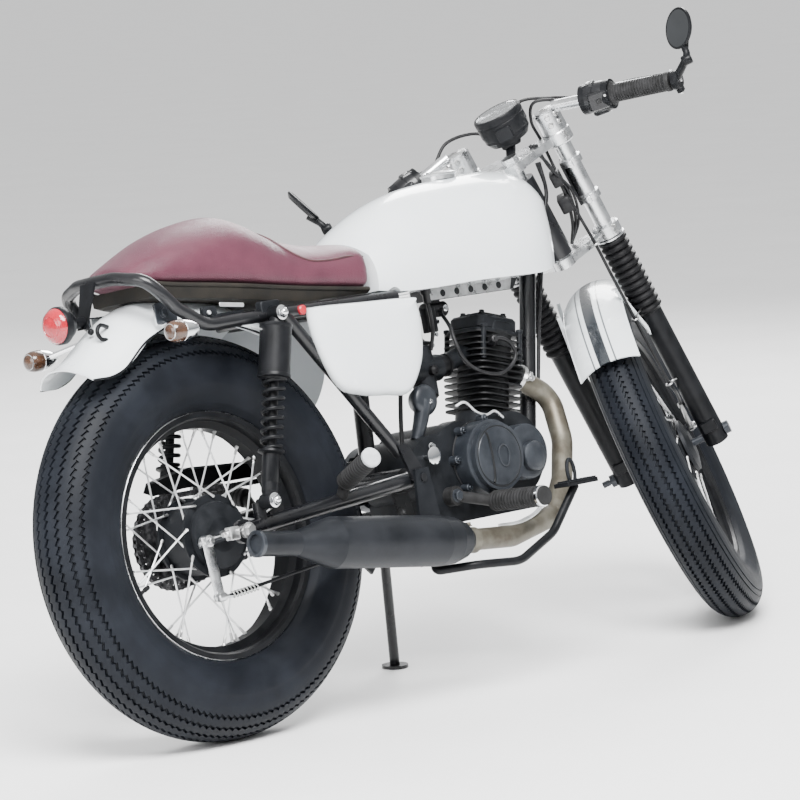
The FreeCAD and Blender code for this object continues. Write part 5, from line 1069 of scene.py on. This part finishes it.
def slider_trim():
    screws, ends = Form(), Form()
    for side in SIDES:
        screws.cap_screw(leg(30, side, -21.5), -AHEAD, 4, 3)
        screws.bolt(leg(236, side, 12, -side * 18), -Y * side, 9, 6)
        ends.lathe(leg(282, side), UP, [(-8, 22), (-6, 24), (6, 24), (8, 22.4)], 36)
        ends.lathe(leg(-16, side), UP, [(-3, 10), (-2, 17), (0, 21.4), (6, 22.4), (10, 22)], 36)
        ends.slab(leg(24, side, -22), (22, 30, 8), -AHEAD, UP, 4, 2)
    on_fork("front_axle_nuts", screws, "zinc_steel")
    on_fork("slider_ends", ends, "satin_black")


def front_brake():
    d = (ARM_TIP - ARM_CAM).normalized()
    arm = Form().tube([ARM_CAM - d * 6, ARM_CAM + d * 14, ARM_TIP - d * 10, ARM_TIP + d * 6],
                      lambda t: 10 - 4.2 * t, 12, 4, flat=0.55)
    arm.bolt(ARM_CAM - Y * 5, -Y, 11, 6)
    arm.lathe(ARM_TIP + Y * 7, -Y, [(0, 5), (14, 5), (15, 4)], 16)
    on_fork("front_brake_arm", arm, "zinc_steel", 50)
    start = GRIP_FROM - OUT * 62 + AHEAD * 22
    run = [start, start - OUT * 26] + [beside_leg(*p) for p in CABLE_ROUTE] + [ARM_TIP]
    on_fork("front_brake_cable", Form().tube(run, 3.0, 10, 8), "cord_black", 70)
    guide = Form()
    for up, ahead, right in GUIDES:
        centre = beside_leg(up, ahead, right)
        guide.tube([centre + (AHEAD * math.cos(a) + Y * math.sin(a)) * 6.5 for a in turn(16)], 1.8,
                   8, 1, closed=True)
        guide.tube([beside_leg(up, ahead + 6, right), beside_leg(up, ahead * 0.5 - 4, right + 8),
                    beside_leg(up, -18, right + 16)], 1.8, 8, 4)
    on_fork("cable_guides", guide, "zinc_steel", 70)


def steering_cords():
    loom = Form()
    for k, shift in enumerate((0, 7, 13)):
        route = ((668, -22 - shift, 40 + shift), (620, -34 - shift, 56), (560, -30, 58 + shift),
                 (500, -20, 44 + shift), (462, -16, 24))
        loom.tube([beside_leg(*p) for p in route], 3.4 - 0.4 * k, 8, 6)
    loom.slab(beside_leg(590, -26, 56), (34, 20, 26), UP, AHEAD, 4, 2)
    loom.slab(beside_leg(540, -24, 50), (40, 24, 30), UP, AHEAD, 5, 2)
    on_fork("steering_loom", loom, "cord_black", 60)
    right = SWITCH_FROM + AHEAD * 14
    cables = Form().tube([right, right - OUT * 24 + UP * 6, right - OUT * 66 + UP * 10 + AHEAD * 14,
                          V(944, -60, 1012), V(950, -20, 1000), V(938, 4, 966)], 3.0, 10, 8)
    left, way = flip(SWITCH_FROM) + AHEAD * 20, flip(OUT)
    cables.tube([left, left - way * 30, left - way * 70 + UP * 16 + AHEAD * 16, V(962, 48, 1000),
                 V(956, 14, 968), V(946, 2, 940)], 3.2, 10, 8)
    on_fork("control_cables", cables, "cord_black", 70)


slider_trim()
front_brake()
steering_cords()


# Engine: cover faces, seams and screws, head caps, plug and its lead, intake and bolts

CRANK, CLUTCH, OIL_CAP, PIVOT = V(690, 0, 386), V(604, 0, 387), V(696, 0, 376), V(404, 0, 375)
ENGINE_LEAN = math.radians(14)
TALL = V(math.sin(ENGINE_LEAN), 0, math.cos(ENGINE_LEAN))
FORE = V(math.cos(ENGINE_LEAN), 0, -math.sin(ENGINE_LEAN))
HEAD_TOP = 79 + 92 + 56
CLUTCH_SCREWS = (20, 80, 130, 175, 220, 265, 320)
INTAKE = V(578, 0, 560)


def barrel(up, ahead=0.0, left=0.0):
    """A place on the leaning barrel and head, measured from the crank."""
    return CRANK + TALL * up + FORE * ahead + Y * left


def engine_covers():
    faces = Form()
    for centre, y, count, stations in (
            (CLUTCH, -126, 64, [(-0.3, 52), (0.9, 51), (1.5, 47), (1.7, 0)]),
            (CLUTCH, -112, 64, [(-1, 66.8), (1.2, 66), (2.6, 62), (3, 59)]),
            (OIL_CAP, -123.2, 48, [(-0.5, 27), (2.5, 25.6), (5, 21), (6.4, 12), (6.8, 0)]),
            (CRANK, -112, 48, [(-1, 49), (1, 48), (2, 45), (2.1, 40)]),
            (CRANK, 120, 64, [(-1, 60), (1.6, 58), (3.4, 50), (4, 30), (4.2, 0)])):
        faces.lathe(centre + Y * y, Y if y > 0 else -Y, stations, count)
    faces.tube([V(614 + 13 * math.cos(a), -128.1, CLUTCH.z + 19 * math.sin(a)) for a in turn(36)],
               1.6, 8, 1, closed=True)
    for a in CLUTCH_SCREWS:
        faces.lathe(on_rim(CLUTCH, 71, a, -78), -Y, [(0, 8), (16, 7.4), (17, 6)], 16)
    piece("cover_faces", faces, "case_grey", sharp=30)
    seams = Form()
    seams.tube([V(578 + 7 * math.cos(a), -127.6, CLUTCH.z + 44 * math.sin(a))
                for a in (math.radians(d) for d in range(-88, 89, 11))], 2.3, 8, 2)
    seams.lathe(CLUTCH - Y * 126.1, -Y, [(0, 54.6), (0.5, 54.2), (0.5, 52.8), (0, 52.4)], 64, True)
    for side in SIDES:
        seams.lathe(CLUTCH + Y * side * 84, Y * side, [(-6, 69), (-5.4, 69.8), (-4.4, 69.8),
                                                       (-3.8, 69)], 64)
    piece("cover_seams", seams, "fin_black", sharp=60)
    screws = Form()
    for a in CLUTCH_SCREWS:
        screws.cap_screw(on_rim(CLUTCH, 71, a, -95), -Y, 4.2, 3.4)
    for a in (25, 100, 175, 250, 320):
        screws.cap_screw(on_rim(CRANK, 54, a, 120.5), Y, 3.8, 3)
    for side in SIDES:
        screws.bolt(V(512, side * 98, 332), Y * side, 17, 8)
    piece("engine_screws", screws, "case_grey")


def head_caps():
    caps = Form()
    caps.slab(barrel(HEAD_TOP + 14), (100, 84, 26), TALL, FORE, 16, 4, 4)
    caps.slab(barrel(HEAD_TOP - 2), (112, 96, 8), TALL, FORE, 20, 2)
    caps.slab(barrel(HEAD_TOP + 4, 8, -40), (52, 30, 8), -Y, FORE, 12, 2)
    for ahead in SIDES:
        for left in SIDES:
            caps.bolt(barrel(HEAD_TOP + 31.5, ahead * 27, left * 24), TALL, 9, 6)
    for way, ahead in ((FORE, 34.6), (-FORE, -34.6)):
        caps.lathe(barrel(HEAD_TOP + 15, ahead), way, [(-1, 17), (3, 17), (4, 15), (4.2, 11),
                                                       (7, 11), (8, 10)], 24)
    for ahead in SIDES:
        for left in SIDES:
            caps.lathe(barrel(HEAD_TOP - 56, ahead * 45, left * 47), TALL,
                       [(0, 5), (56, 5), (57, 6.5), (62, 6.5), (63, 5)], 12)
    piece("head_bolts", caps, "cast_dark")


def ignition_lead():
    root, end = V(716, -44, 589), V(704, -66, 593)
    plug = Form().lathe(root, end - root, [(-8, 6), (0, 8.4), (3, 10), (16, 9), (22, 7.4), (29, 6),
                                           (30, 4)], 20)
    plug.tube([V(640, -8, 662), V(628, -22, 652), V(614, -50, 628), V(607, -64, 600),
               V(612, -68, 574), V(630, -69, 552), V(660, -69, 537), V(698, -69, 530),
               V(732, -69, 541), V(748, -69, 561), V(738, -69, 582), V(718, -69, 592),
               V(700, -68, 593)], 3.6, 12, 8)
    plug.lathe(V(606, 0, 662), X, [(0, 10), (1, 14), (50, 14), (52, 10)], 24)
    plug.slab(V(630, 0, 676), (30, 14, 16), Z, X, 2, 1)
    piece("plug_and_lead", plug, "cord_black", sharp=50)
    lines = Form()
    lines.tube([V(560, -84, 486), V(578, -90, 490), V(600, -92, 470), V(626, -90, 462),
                V(652, -86, 466), V(672, -84, 452)], 2.6, 8, 6)
    lines.tube([V(548, -150, 268), V(590, -156, 267), V(640, -150, 276), V(672, -142, 290),
                V(690, -134, 306)], 3.6, 10, 6)
    piece("silver_lines", lines, "spoke_steel", sharp=60)


def intake():
    boots = Form()
    rear_boot = ribs(6, 5, [(0, 24), (1.4, 26.5), (3.4, 26.5), (4.8, 24)], 6)
    for place, way, count, stations in (
            (V(540, 0, 560), -X, 32, [(-2, 22), (0, 27), (4, 27), (5, 24)] + rear_boot
             + [(38, 24), (62, 25), (64, 20)]),
            (V(616, 0, 562), X, 28, [(-3, 18), (0, 21), (4, 21), (5, 18.4), (16, 18.4), (17, 21),
                                     (21, 21), (24, 17.6)]),
            (INTAKE + Z * 44, Z, 28, [(-2, 23), (2, 23.4), (4, 22), (6, 14), (12, 9), (24, 6),
                                      (26, 4)]),
            (INTAKE - Z * 48, -Z, 6, [(-2, 22.4), (2, 22.4), (6, 18), (8, 9), (14, 8)])):
        boots.lathe(place, way, stations, count)
    for side in SIDES:
        boots.lathe(INTAKE + V(0, side * 20, -4), Y * side, [(0, 9), (12, 9), (13, 7), (16, 4)], 16)
    piece("intake_boots", boots, "gaiter_black", sharp=40)
    top = Form().lathe(V(512, -52, 506), -Y, [(-14, 20), (0, 27), (8, 28), (13, 25), (16, 16),
                                              (16.6, 0)])
    top.tube([V(512, -56, 506), V(498, -54, 470), V(484, -50, 440)], lambda t: 16 - 5 * t, 12, 6)
    piece("engine_top_cover", top, "case_grey", sharp=45)


def frame_bolts():
    bits = Form().cap_screw(V(516, -68.6, 502), -Y, 4.5, 3)
    for side in SIDES:
        bits.lathe(PIVOT + Y * side * 112, Y * side, [(0, 12), (4, 12), (5, 10), (6, 0)], 6)
    bits.lathe(V(470, -98, 408), -Y, [(-20, 4), (0, 5), (1, 15), (4, 15.6), (5.4, 12), (6, 0)])
    bits.bolt(V(484, -84, 424), -Y, 10, 7)
    for x, z in ((640, 662), (612, 640), (604, 618), (590, 600)):
        bits.bolt(V(x, -22, z), -Y, 8, 4)
    piece("frame_bolts", bits, "bright_chrome")
    tap = Form().lathe(V(560, -60, 700), -Z, [(0, 10), (10, 10), (12, 7), (26, 7), (28, 4)], 16)
    tap.tube([V(560, -60, 676), V(566, -56, 650), V(580, -40, 622), V(582, -26, 592)], 3.6, 10, 6)
    piece("fuel_tap", tap, "cord_black", sharp=60)


engine_covers()
head_caps()
ignition_lead()
intake()
frame_bolts()


# Gusset plate under the tank, with its row of holes

def gusset():
    faces, holes = Form(), Form()
    shape = [(600, 679), (812, 679), (820, 700), (600, 700)]
    for side in SIDES:
        faces.loft([[V(x, side * y, z) for x, z in shape] for y in (20.2, 21.8)])
        for k in range(5):
            holes.lathe(V(640 + k * 36, side * 21.6, 689), Y * side, [(0, 6.4), (0.6, 6.4), (0.7, 0)],
                        20)
    piece("gusset_faces", faces, "zinc_steel")
    piece("gusset_holes", holes, "fin_black")


gusset()


# Exhaust: port flange, clamps and the outlet's rim and bore

KNEE = V(852, -34, 476)
MUFFLER_NOSE, MUFFLER_TIP = V(450, -166, 255), V(-32, -166, 319)
BORE = 14.9


def exhaust():
    root = CRANK + TALL * (79 + 92 + 19 * 0.4)
    way = (KNEE - root).normalized()
    port = root + way * 80
    flange = Form().lathe(port, way, [(-6, 24), (-5, 27), (2, 27), (4, 21)], 36)
    for side in SIDES:
        lug = port + Y * side * 30 - way * 4
        flange.slab(lug, (18, 16, 7), way, Y, 6, 1)
        flange.bolt(lug + way * 3, way, 10, 8)
    piece("port_flange", flange, "zinc_steel")
    way = (MUFFLER_TIP - MUFFLER_NOSE).normalized()
    clamp = Form().lathe(MUFFLER_NOSE, way, [(-16, 19.5), (-15, 22.6), (2, 22.6), (3, 20)], 36)
    clamp.slab(V(462, -150, 272), (16, 12, 14), -Y, X, 3, 1)
    clamp.bolt(V(466, -158, 278), Z, 9, 7)
    clamp.lathe(V(712, -124, 266), V(-0.97, -0.2, -0.13), [(-3, 19.4), (-2, 20.4), (2, 20.4),
                                                           (3, 19.4)], 36)
    piece("pipe_clamps", clamp, "heated_pipe")
    rim = Form().lathe(MUFFLER_TIP, way, [(-6, 21), (-5, 22.4), (1.5, 22.4), (2.2, 21), (2.2, 16),
                                          (-2, 15.2)], 40)
    piece("muffler_rings", rim, "case_grey")
    # The lining and the disc that closes it are painted shade, so the bore reads dark
    lining = Form().lathe(MUFFLER_TIP - way * 30, way, [(27, BORE - 0.4), (27, BORE), (0, BORE),
                                                        (0.5, 0), (0.6, BORE - 0.4),
                                                        (27, BORE - 0.4)])
    piece("outlet_painted_shade", lining, "bore_shade_black")


exhaust()


# Foot controls: pegs, brake pedal, rear brake arm and rod, axle adjusters

PEG_ROOT, PEG_END = V(582, -120, 311), V(582, -232, 307)
PASSENGER_ROOT, PASSENGER_END = V(226, -128, 392), V(202.2, -226, 426)
REAR_CAM, REAR_TIP = V(-44, -60.1, 336), V(-36, -60.1, 241)
PEDAL_SIDE = -196


def pegs():
    rubber = Form().lathe(PEG_ROOT, PEG_END - PEG_ROOT, [(-2, 12), (-1, 18)]
                          + ribs(15, 7.3, [(0, 16.2), (1.4, 18.6), (4.4, 18.6), (5.8, 16.2)])
                          + [(110, 18), (111, 12)], 28)
    way = (PASSENGER_END - PASSENGER_ROOT).normalized()
    rubber.lathe(PASSENGER_ROOT, way, [(-1, 12), (0, 17)]
                 + ribs(12, 8, [(0, 15.6), (1.6, 17.2), (5, 17.2), (6.6, 15.6)])
                 + [(100, 17), (101, 16)], 28)
    piece("peg_rubbers", rubber.mirrored(), "grip_rubber")
    caps = Form().lathe(PASSENGER_ROOT + way * 104, way, [(-4, 14), (-3, 17), (2, 17), (4, 15),
                                                          (4.6, 0)])
    piece("passenger_peg_ends", caps.mirrored(), "white_plastic")
    caps = Form().lathe(PEG_END + Y, -Y, [(-2, 15), (-1, 19), (4, 19), (6, 16), (8, 9), (9, 0)], 28)
    caps.bolt(PEG_ROOT + Y * 8, -Y, 14, 6)
    piece("rider_peg_ends", caps.mirrored(), "bright_chrome")


def brake_pedal():
    tread = Form().tube([V(702 + 9 * math.cos(a), PEDAL_SIDE, 338 + 22 * math.sin(a))
                         for a in turn(28)], 3.4, 10, 1, closed=True)
    tread.slab(V(712, PEDAL_SIDE, 319), (80, 34, 4), Z, X, 5, 1.5)
    for k in range(7):
        tread.slab(V(680 + k * 11, PEDAL_SIDE, 322), (3, 30, 3), Z, X, 1, 0.6)
    piece("pedal_tread", tread, "cast_dark")


def rear_brake():
    d = (REAR_TIP - REAR_CAM).normalized()
    arm = Form().tube([REAR_CAM - d * 8, REAR_CAM + d * 18, REAR_TIP - d * 20, REAR_TIP + d * 4],
                      lambda t: 11.5 - 1.8 * t, 12, 5, flat=0.5)
    arm.lathe(REAR_CAM + Y * 10, -Y, [(0, 10), (18, 10), (19, 7)], 20)
    arm.bolt(REAR_CAM - Y * 8, -Y, 12, 7)
    arm.lathe(REAR_TIP + Y * 9, -Y, [(0, 7.5), (20, 7.5), (21, 5.5)], 18)
    arm.lathe(V(-36, -78, 241), -X, [(-14, 3.4), (8, 3.4), (9, 7), (20, 7), (22, 4)], 12)
    arm.tube([V(-52, -46, 330), V(-20, -52, 338), V(30, -70, 340), V(84, -100, 349)], 4.6, 10, 5)
    piece("rear_brake_arm", arm, "brushed_alloy", sharp=50)
    start, end = V(-26, -78.2, 241.6), V(34, -81, 246.5)
    u, v, _ = basis(end - start)
    coil = [start + (end - start) * (k / 112) + (u * math.cos(a) + v * math.sin(a)) * 5.4
            for k, a in ((k, 2 * math.pi * k / 14) for k in range(113))]
    piece("brake_rod_spring", Form().tube(coil, 1.2, 6, 1), "zinc_steel", sharp=70)


def axle_adjusters():
    adjust = Form()
    for side in SIDES:
        adjust.bolt(V(0, side * 119, REAR_RADIUS), Y * side, 20, 8)
        adjust.slab(V(-24, side * 104, REAR_RADIUS), (22, 16, 22), Z, X, 3, 1.5)
        adjust.bolt(V(-36, side * 104, REAR_RADIUS), -X, 9, 10)
    piece("axle_adjusters", adjust, "zinc_steel")


pegs()
brake_pedal()
rear_brake()
axle_adjusters()


# Tail: lamp lens, indicators, fender trim, latch and hook

LAMP = V(-230, 0, 726)


def tail_lights():
    lens = Form().lathe(LAMP, -X, [(0, 29.8), (5, 29.2), (11, 25), (15, 17), (17.4, 8), (18, 0)], 56)
    lens.lathe(LAMP, -X, [(10, 20.5), (14.5, 20.0), (16.2, 16.5), (14, 15)], 40)
    piece("tail_lens", lens, "red_glass", sharp=40)
    rim = Form().lathe(LAMP + X * 6, -X, [(-6, 30.2), (-4, 31.6), (6, 31.8), (8.4, 30.6), (8.6, 29),
                                          (5, 28.6)], 56)
    piece("tail_lamp_rim", rim, "satin_black")
    amber, shells = Form(), Form()
    for side in SIDES:
        p = V(-93, 184 * side, 682)
        amber.lathe(p, -X, [(35, 17.2), (37, 18.2), (50, 17.8), (58, 15.4), (62.4, 9), (63.6, 0)])
        shells.lathe(p, -X, [(-2, 4), (0, 7), (8, 13), (20, 16.6), (33, 18.4), (36, 18.6),
                             (37, 17)], 36)
    piece("indicator_lenses", amber, "amber_glass", sharp=50)
    piece("indicator_shells", shells, "bright_chrome", sharp=50)


def tail_brackets():
    plates, brackets, flats, knobs = Form(), Form(), Form(), Form()
    for side in SIDES:
        out = Y * side
        plates.slab(V(-68, side * 85.4, 719), (46, 36, 3), out, X, 5, 1)
        plates.bolt(V(-74, side * 86.6, 720), out, 13, 5)
        brackets.slab(V(12, side * 100, 704), (34, 30, 8), out, X, 5, 2)
        brackets.lathe(V(2, side * 104, 708), out, [(0, 10), (4, 10), (5, 7)], 20)
        brackets.slab(V(54, side * 104, 700), (62, 10, 6), out, X, 3, 1)
        brackets.slab(V(133, side * 114, 700), (44, 28, 16), out, X, 5, 2)
        brackets.tube([V(96, side * 112, 690), V(30, side * 108, 694), V(10, side * 104, 700)], 5,
                      10, 4)
        flats.slab(V(58, side * 108.6, 716), (54, 7, 2), out, V(1, 0, -0.12), 2, 0.5)
        flats.cap_screw(V(4, side * 109, 708), out, 4, 3)
        flats.cap_screw(V(24, side * 104.4, 696), out, 3.4, 3)
        flats.slab(V(96, side * 126, 668), (38, 3, 4), out, V(1, 0, -0.3), 1, 0.5)
        knobs.lathe(V(199, side * 112, 690), out, [(-4, 4), (6, 4), (7, 8), (15, 8.4), (17, 6),
                                                   (17.5, 0)], 20)
    hook = Form().bolt(V(-176, -18, 708), V(-0.9, -0.4, 0.2), 8, 5)
    hook.tube([V(-150, -30, 712), V(-170, -36, 716), V(-180, -38, 706), V(-176, -40, 694),
               V(-164, -40, 690)], 3.6, 10, 5)
    piece("fender_plates", plates, "case_grey")
    piece("tail_hook", hook, "satin_black", sharp=60)
    piece("seat_brackets", brackets, "cast_dark")
    piece("latch_bars", flats, "spoke_steel")
    piece("reflector_knobs", knobs, "red_plastic")


tail_lights()
tail_brackets()


# Fender beads, in tables of degrees round the wheel and shares of crown, width and side drop

REAR_EDGE = [(62, 0.975, 1.00, 0.62), (78, 0.98, 1.00, 0.64), (92, 1.00, 1.00, 0.62),
             (107, 1.00, 0.98, 0.72), (118, 0.97, 0.96, 0.76), (124, 0.965, 0.94, 0.64),
             (129, 0.985, 0.92, 0.46)]
FRONT_EDGE = [(78, 1.00, 1.00, 0.42), (100, 1.00, 1.00, 0.46), (125, 1.00, 1.00, 0.48),
              (140, 1.00, 1.00, 0.46), (152, 1.00, 1.00, 0.42)]


def fender_beads(centre, crown, half, table, radius):
    beads = Form()
    for side in SIDES:
        line = []
        for k in range(33):
            t = table[0][0] + (table[-1][0] - table[0][0]) * k / 32
            _, c, w, drop = through(table, t)
            line.append(on_rim(centre, crown * c - half * drop + 0.6, t, side * (half * w - 1.2)))
        beads.tube(line, radius, 8, 2)
    return beads


piece("rear_fender_beads", fender_beads(V(0, 0, REAR_RADIUS), 408, 76, REAR_EDGE, 2.0),
      "satin_black", sharp=70)
on_fork("front_fender_beads", fender_beads(axle, 358, 60, FRONT_EDGE, 1.9), "fender_paint", 70)


# Tank cap, chassis loom and the boxes under the tank

def tank_and_looms():
    cap = V(702.56, 0, 903)
    lid = Form().lathe(cap, Z, [(-5, 31), (-4, 33), (-1, 33.4), (0, 32), (0.6, 30.6), (1.4, 30),
                                (2.2, 26), (2.4, 0)], 56)
    lid.slab(cap + V(-16, 0, 2.6), (22, 10, 3), Z, X, 3, 1)
    lid.lathe(cap + V(6, 0, 2), Z, [(0, 8), (1.6, 8), (2.2, 6.6), (2.3, 3), (1.6, 2.6)], 24)
    piece("tank_cap_lid", lid, "brushed_alloy")
    loom = Form()
    for shift in (0, 6):
        loom.tube([V(930, -30 - shift, 900), V(938, -34, 850 - shift), V(922, -32, 800),
                   V(906, -26, 745), V(896, -20 - shift, 700), V(872, -18, 600),
                   V(846, -17, 500)], 3.4, 8, 8)
    loom.tube([V(470, -70, 700), V(474, -66, 640), V(470, -60, 580), V(452, -58, 500),
               V(440, -56, 430)], 4.0, 8, 8)
    loom.tube([V(500, 40, 694), V(520, 44, 640), V(548, 40, 600), V(576, 20, 626)], 3.2, 8, 8)
    piece("chassis_loom", loom, "cord_black", sharp=60)
    box = Form().slab(V(522, -20, 660), (44, 34, 58), Z, X, 4, 2)
    box.slab(V(586, -30, 644), (26, 16, 44), Z, V(1, 0, 0.2), 3, 1.5)
    piece("electrics_tray", box, "satin_black")


tank_and_looms()


# Camera, floor and light

CAMERA_PLACE = hub + V(-4.43618, -4.97743, 1.05526)
CAMERA_TURN = ((-44.6491, "Z"), (82.8046, "X"), (-2.961, "Z"))
FLOOR_HALF = 150
scene = bpy.context.scene


def add_camera():
    camera = bpy.data.objects.new("camera", bpy.data.cameras.new("camera"))
    scene.collection.objects.link(camera)
    camera.data.lens = 181.39
    camera.data.sensor_width = 36
    camera.data.clip_end = 400
    pose = Matrix.Translation(CAMERA_PLACE)
    for degrees, about in CAMERA_TURN:
        pose = pose @ Matrix.Rotation(math.radians(degrees), 4, about)
    camera.matrix_world = pose
    scene.camera = camera


def add_floor():
    ground = bpy.data.meshes.new("floor")
    ground.from_pydata([(x * FLOOR_HALF, y * FLOOR_HALF, 0)
                        for x, y in ((-1, -1), (1, -1), (1, 1), (-1, 1))], [], [(0, 1, 2, 3)])
    finish("pale_floor", "tank_paint", [(0.93, 0.93, 0.93), (0.96, 0.96, 0.96)], (0.6, 0.75),
           grain=3)
    ground.materials.append(finishes["pale_floor"][0])
    floor = bpy.data.objects.new("floor", ground)
    scene.collection.objects.link(floor)


def add_sky():
    scene.world = bpy.data.worlds.new("studio")
    scene.world.use_nodes = True
    tree = scene.world.node_tree
    sky = tree.nodes["Background"]
    split = node(tree, "SeparateXYZ", node(tree, "TexCoord").outputs["Generated"])
    ramp = node(tree, "ValToRGB", split.outputs["Z"])
    low, high = ramp.color_ramp.elements
    low.position, low.color = 0.0, (0.22, 0.235, 0.25, 1)
    high.position, high.color = 0.6, (1.0, 1.0, 1.0, 1)
    tree.links.new(ramp.outputs["Color"], sky.inputs["Color"])
    sky.inputs["Strength"].default_value = 1.12


def add_light(name, place, size, power, target=(0, 0, 0.5)):
    lamp = bpy.data.lights.new(name, "AREA")
    lamp.shape = "RECTANGLE"
    lamp.size, lamp.size_y = size
    lamp.energy = power
    thing = bpy.data.objects.new(name, lamp)
    scene.collection.objects.link(thing)
    thing.location = place
    aim = Vector(target) - Vector(place)
    thing.rotation_euler = aim.to_track_quat("-Z", "Y").to_euler()


add_camera()
add_floor()
add_sky()
add_light("key", (-2.2, -2.6, 4.6), (3.2, 2.4), 900)
add_light("fill", (-4.8, -0.6, 1.8), (2.4, 2.0), 110)
add_light("back", (3.6, 2.4, 3.2), (2.6, 2.0), 260)
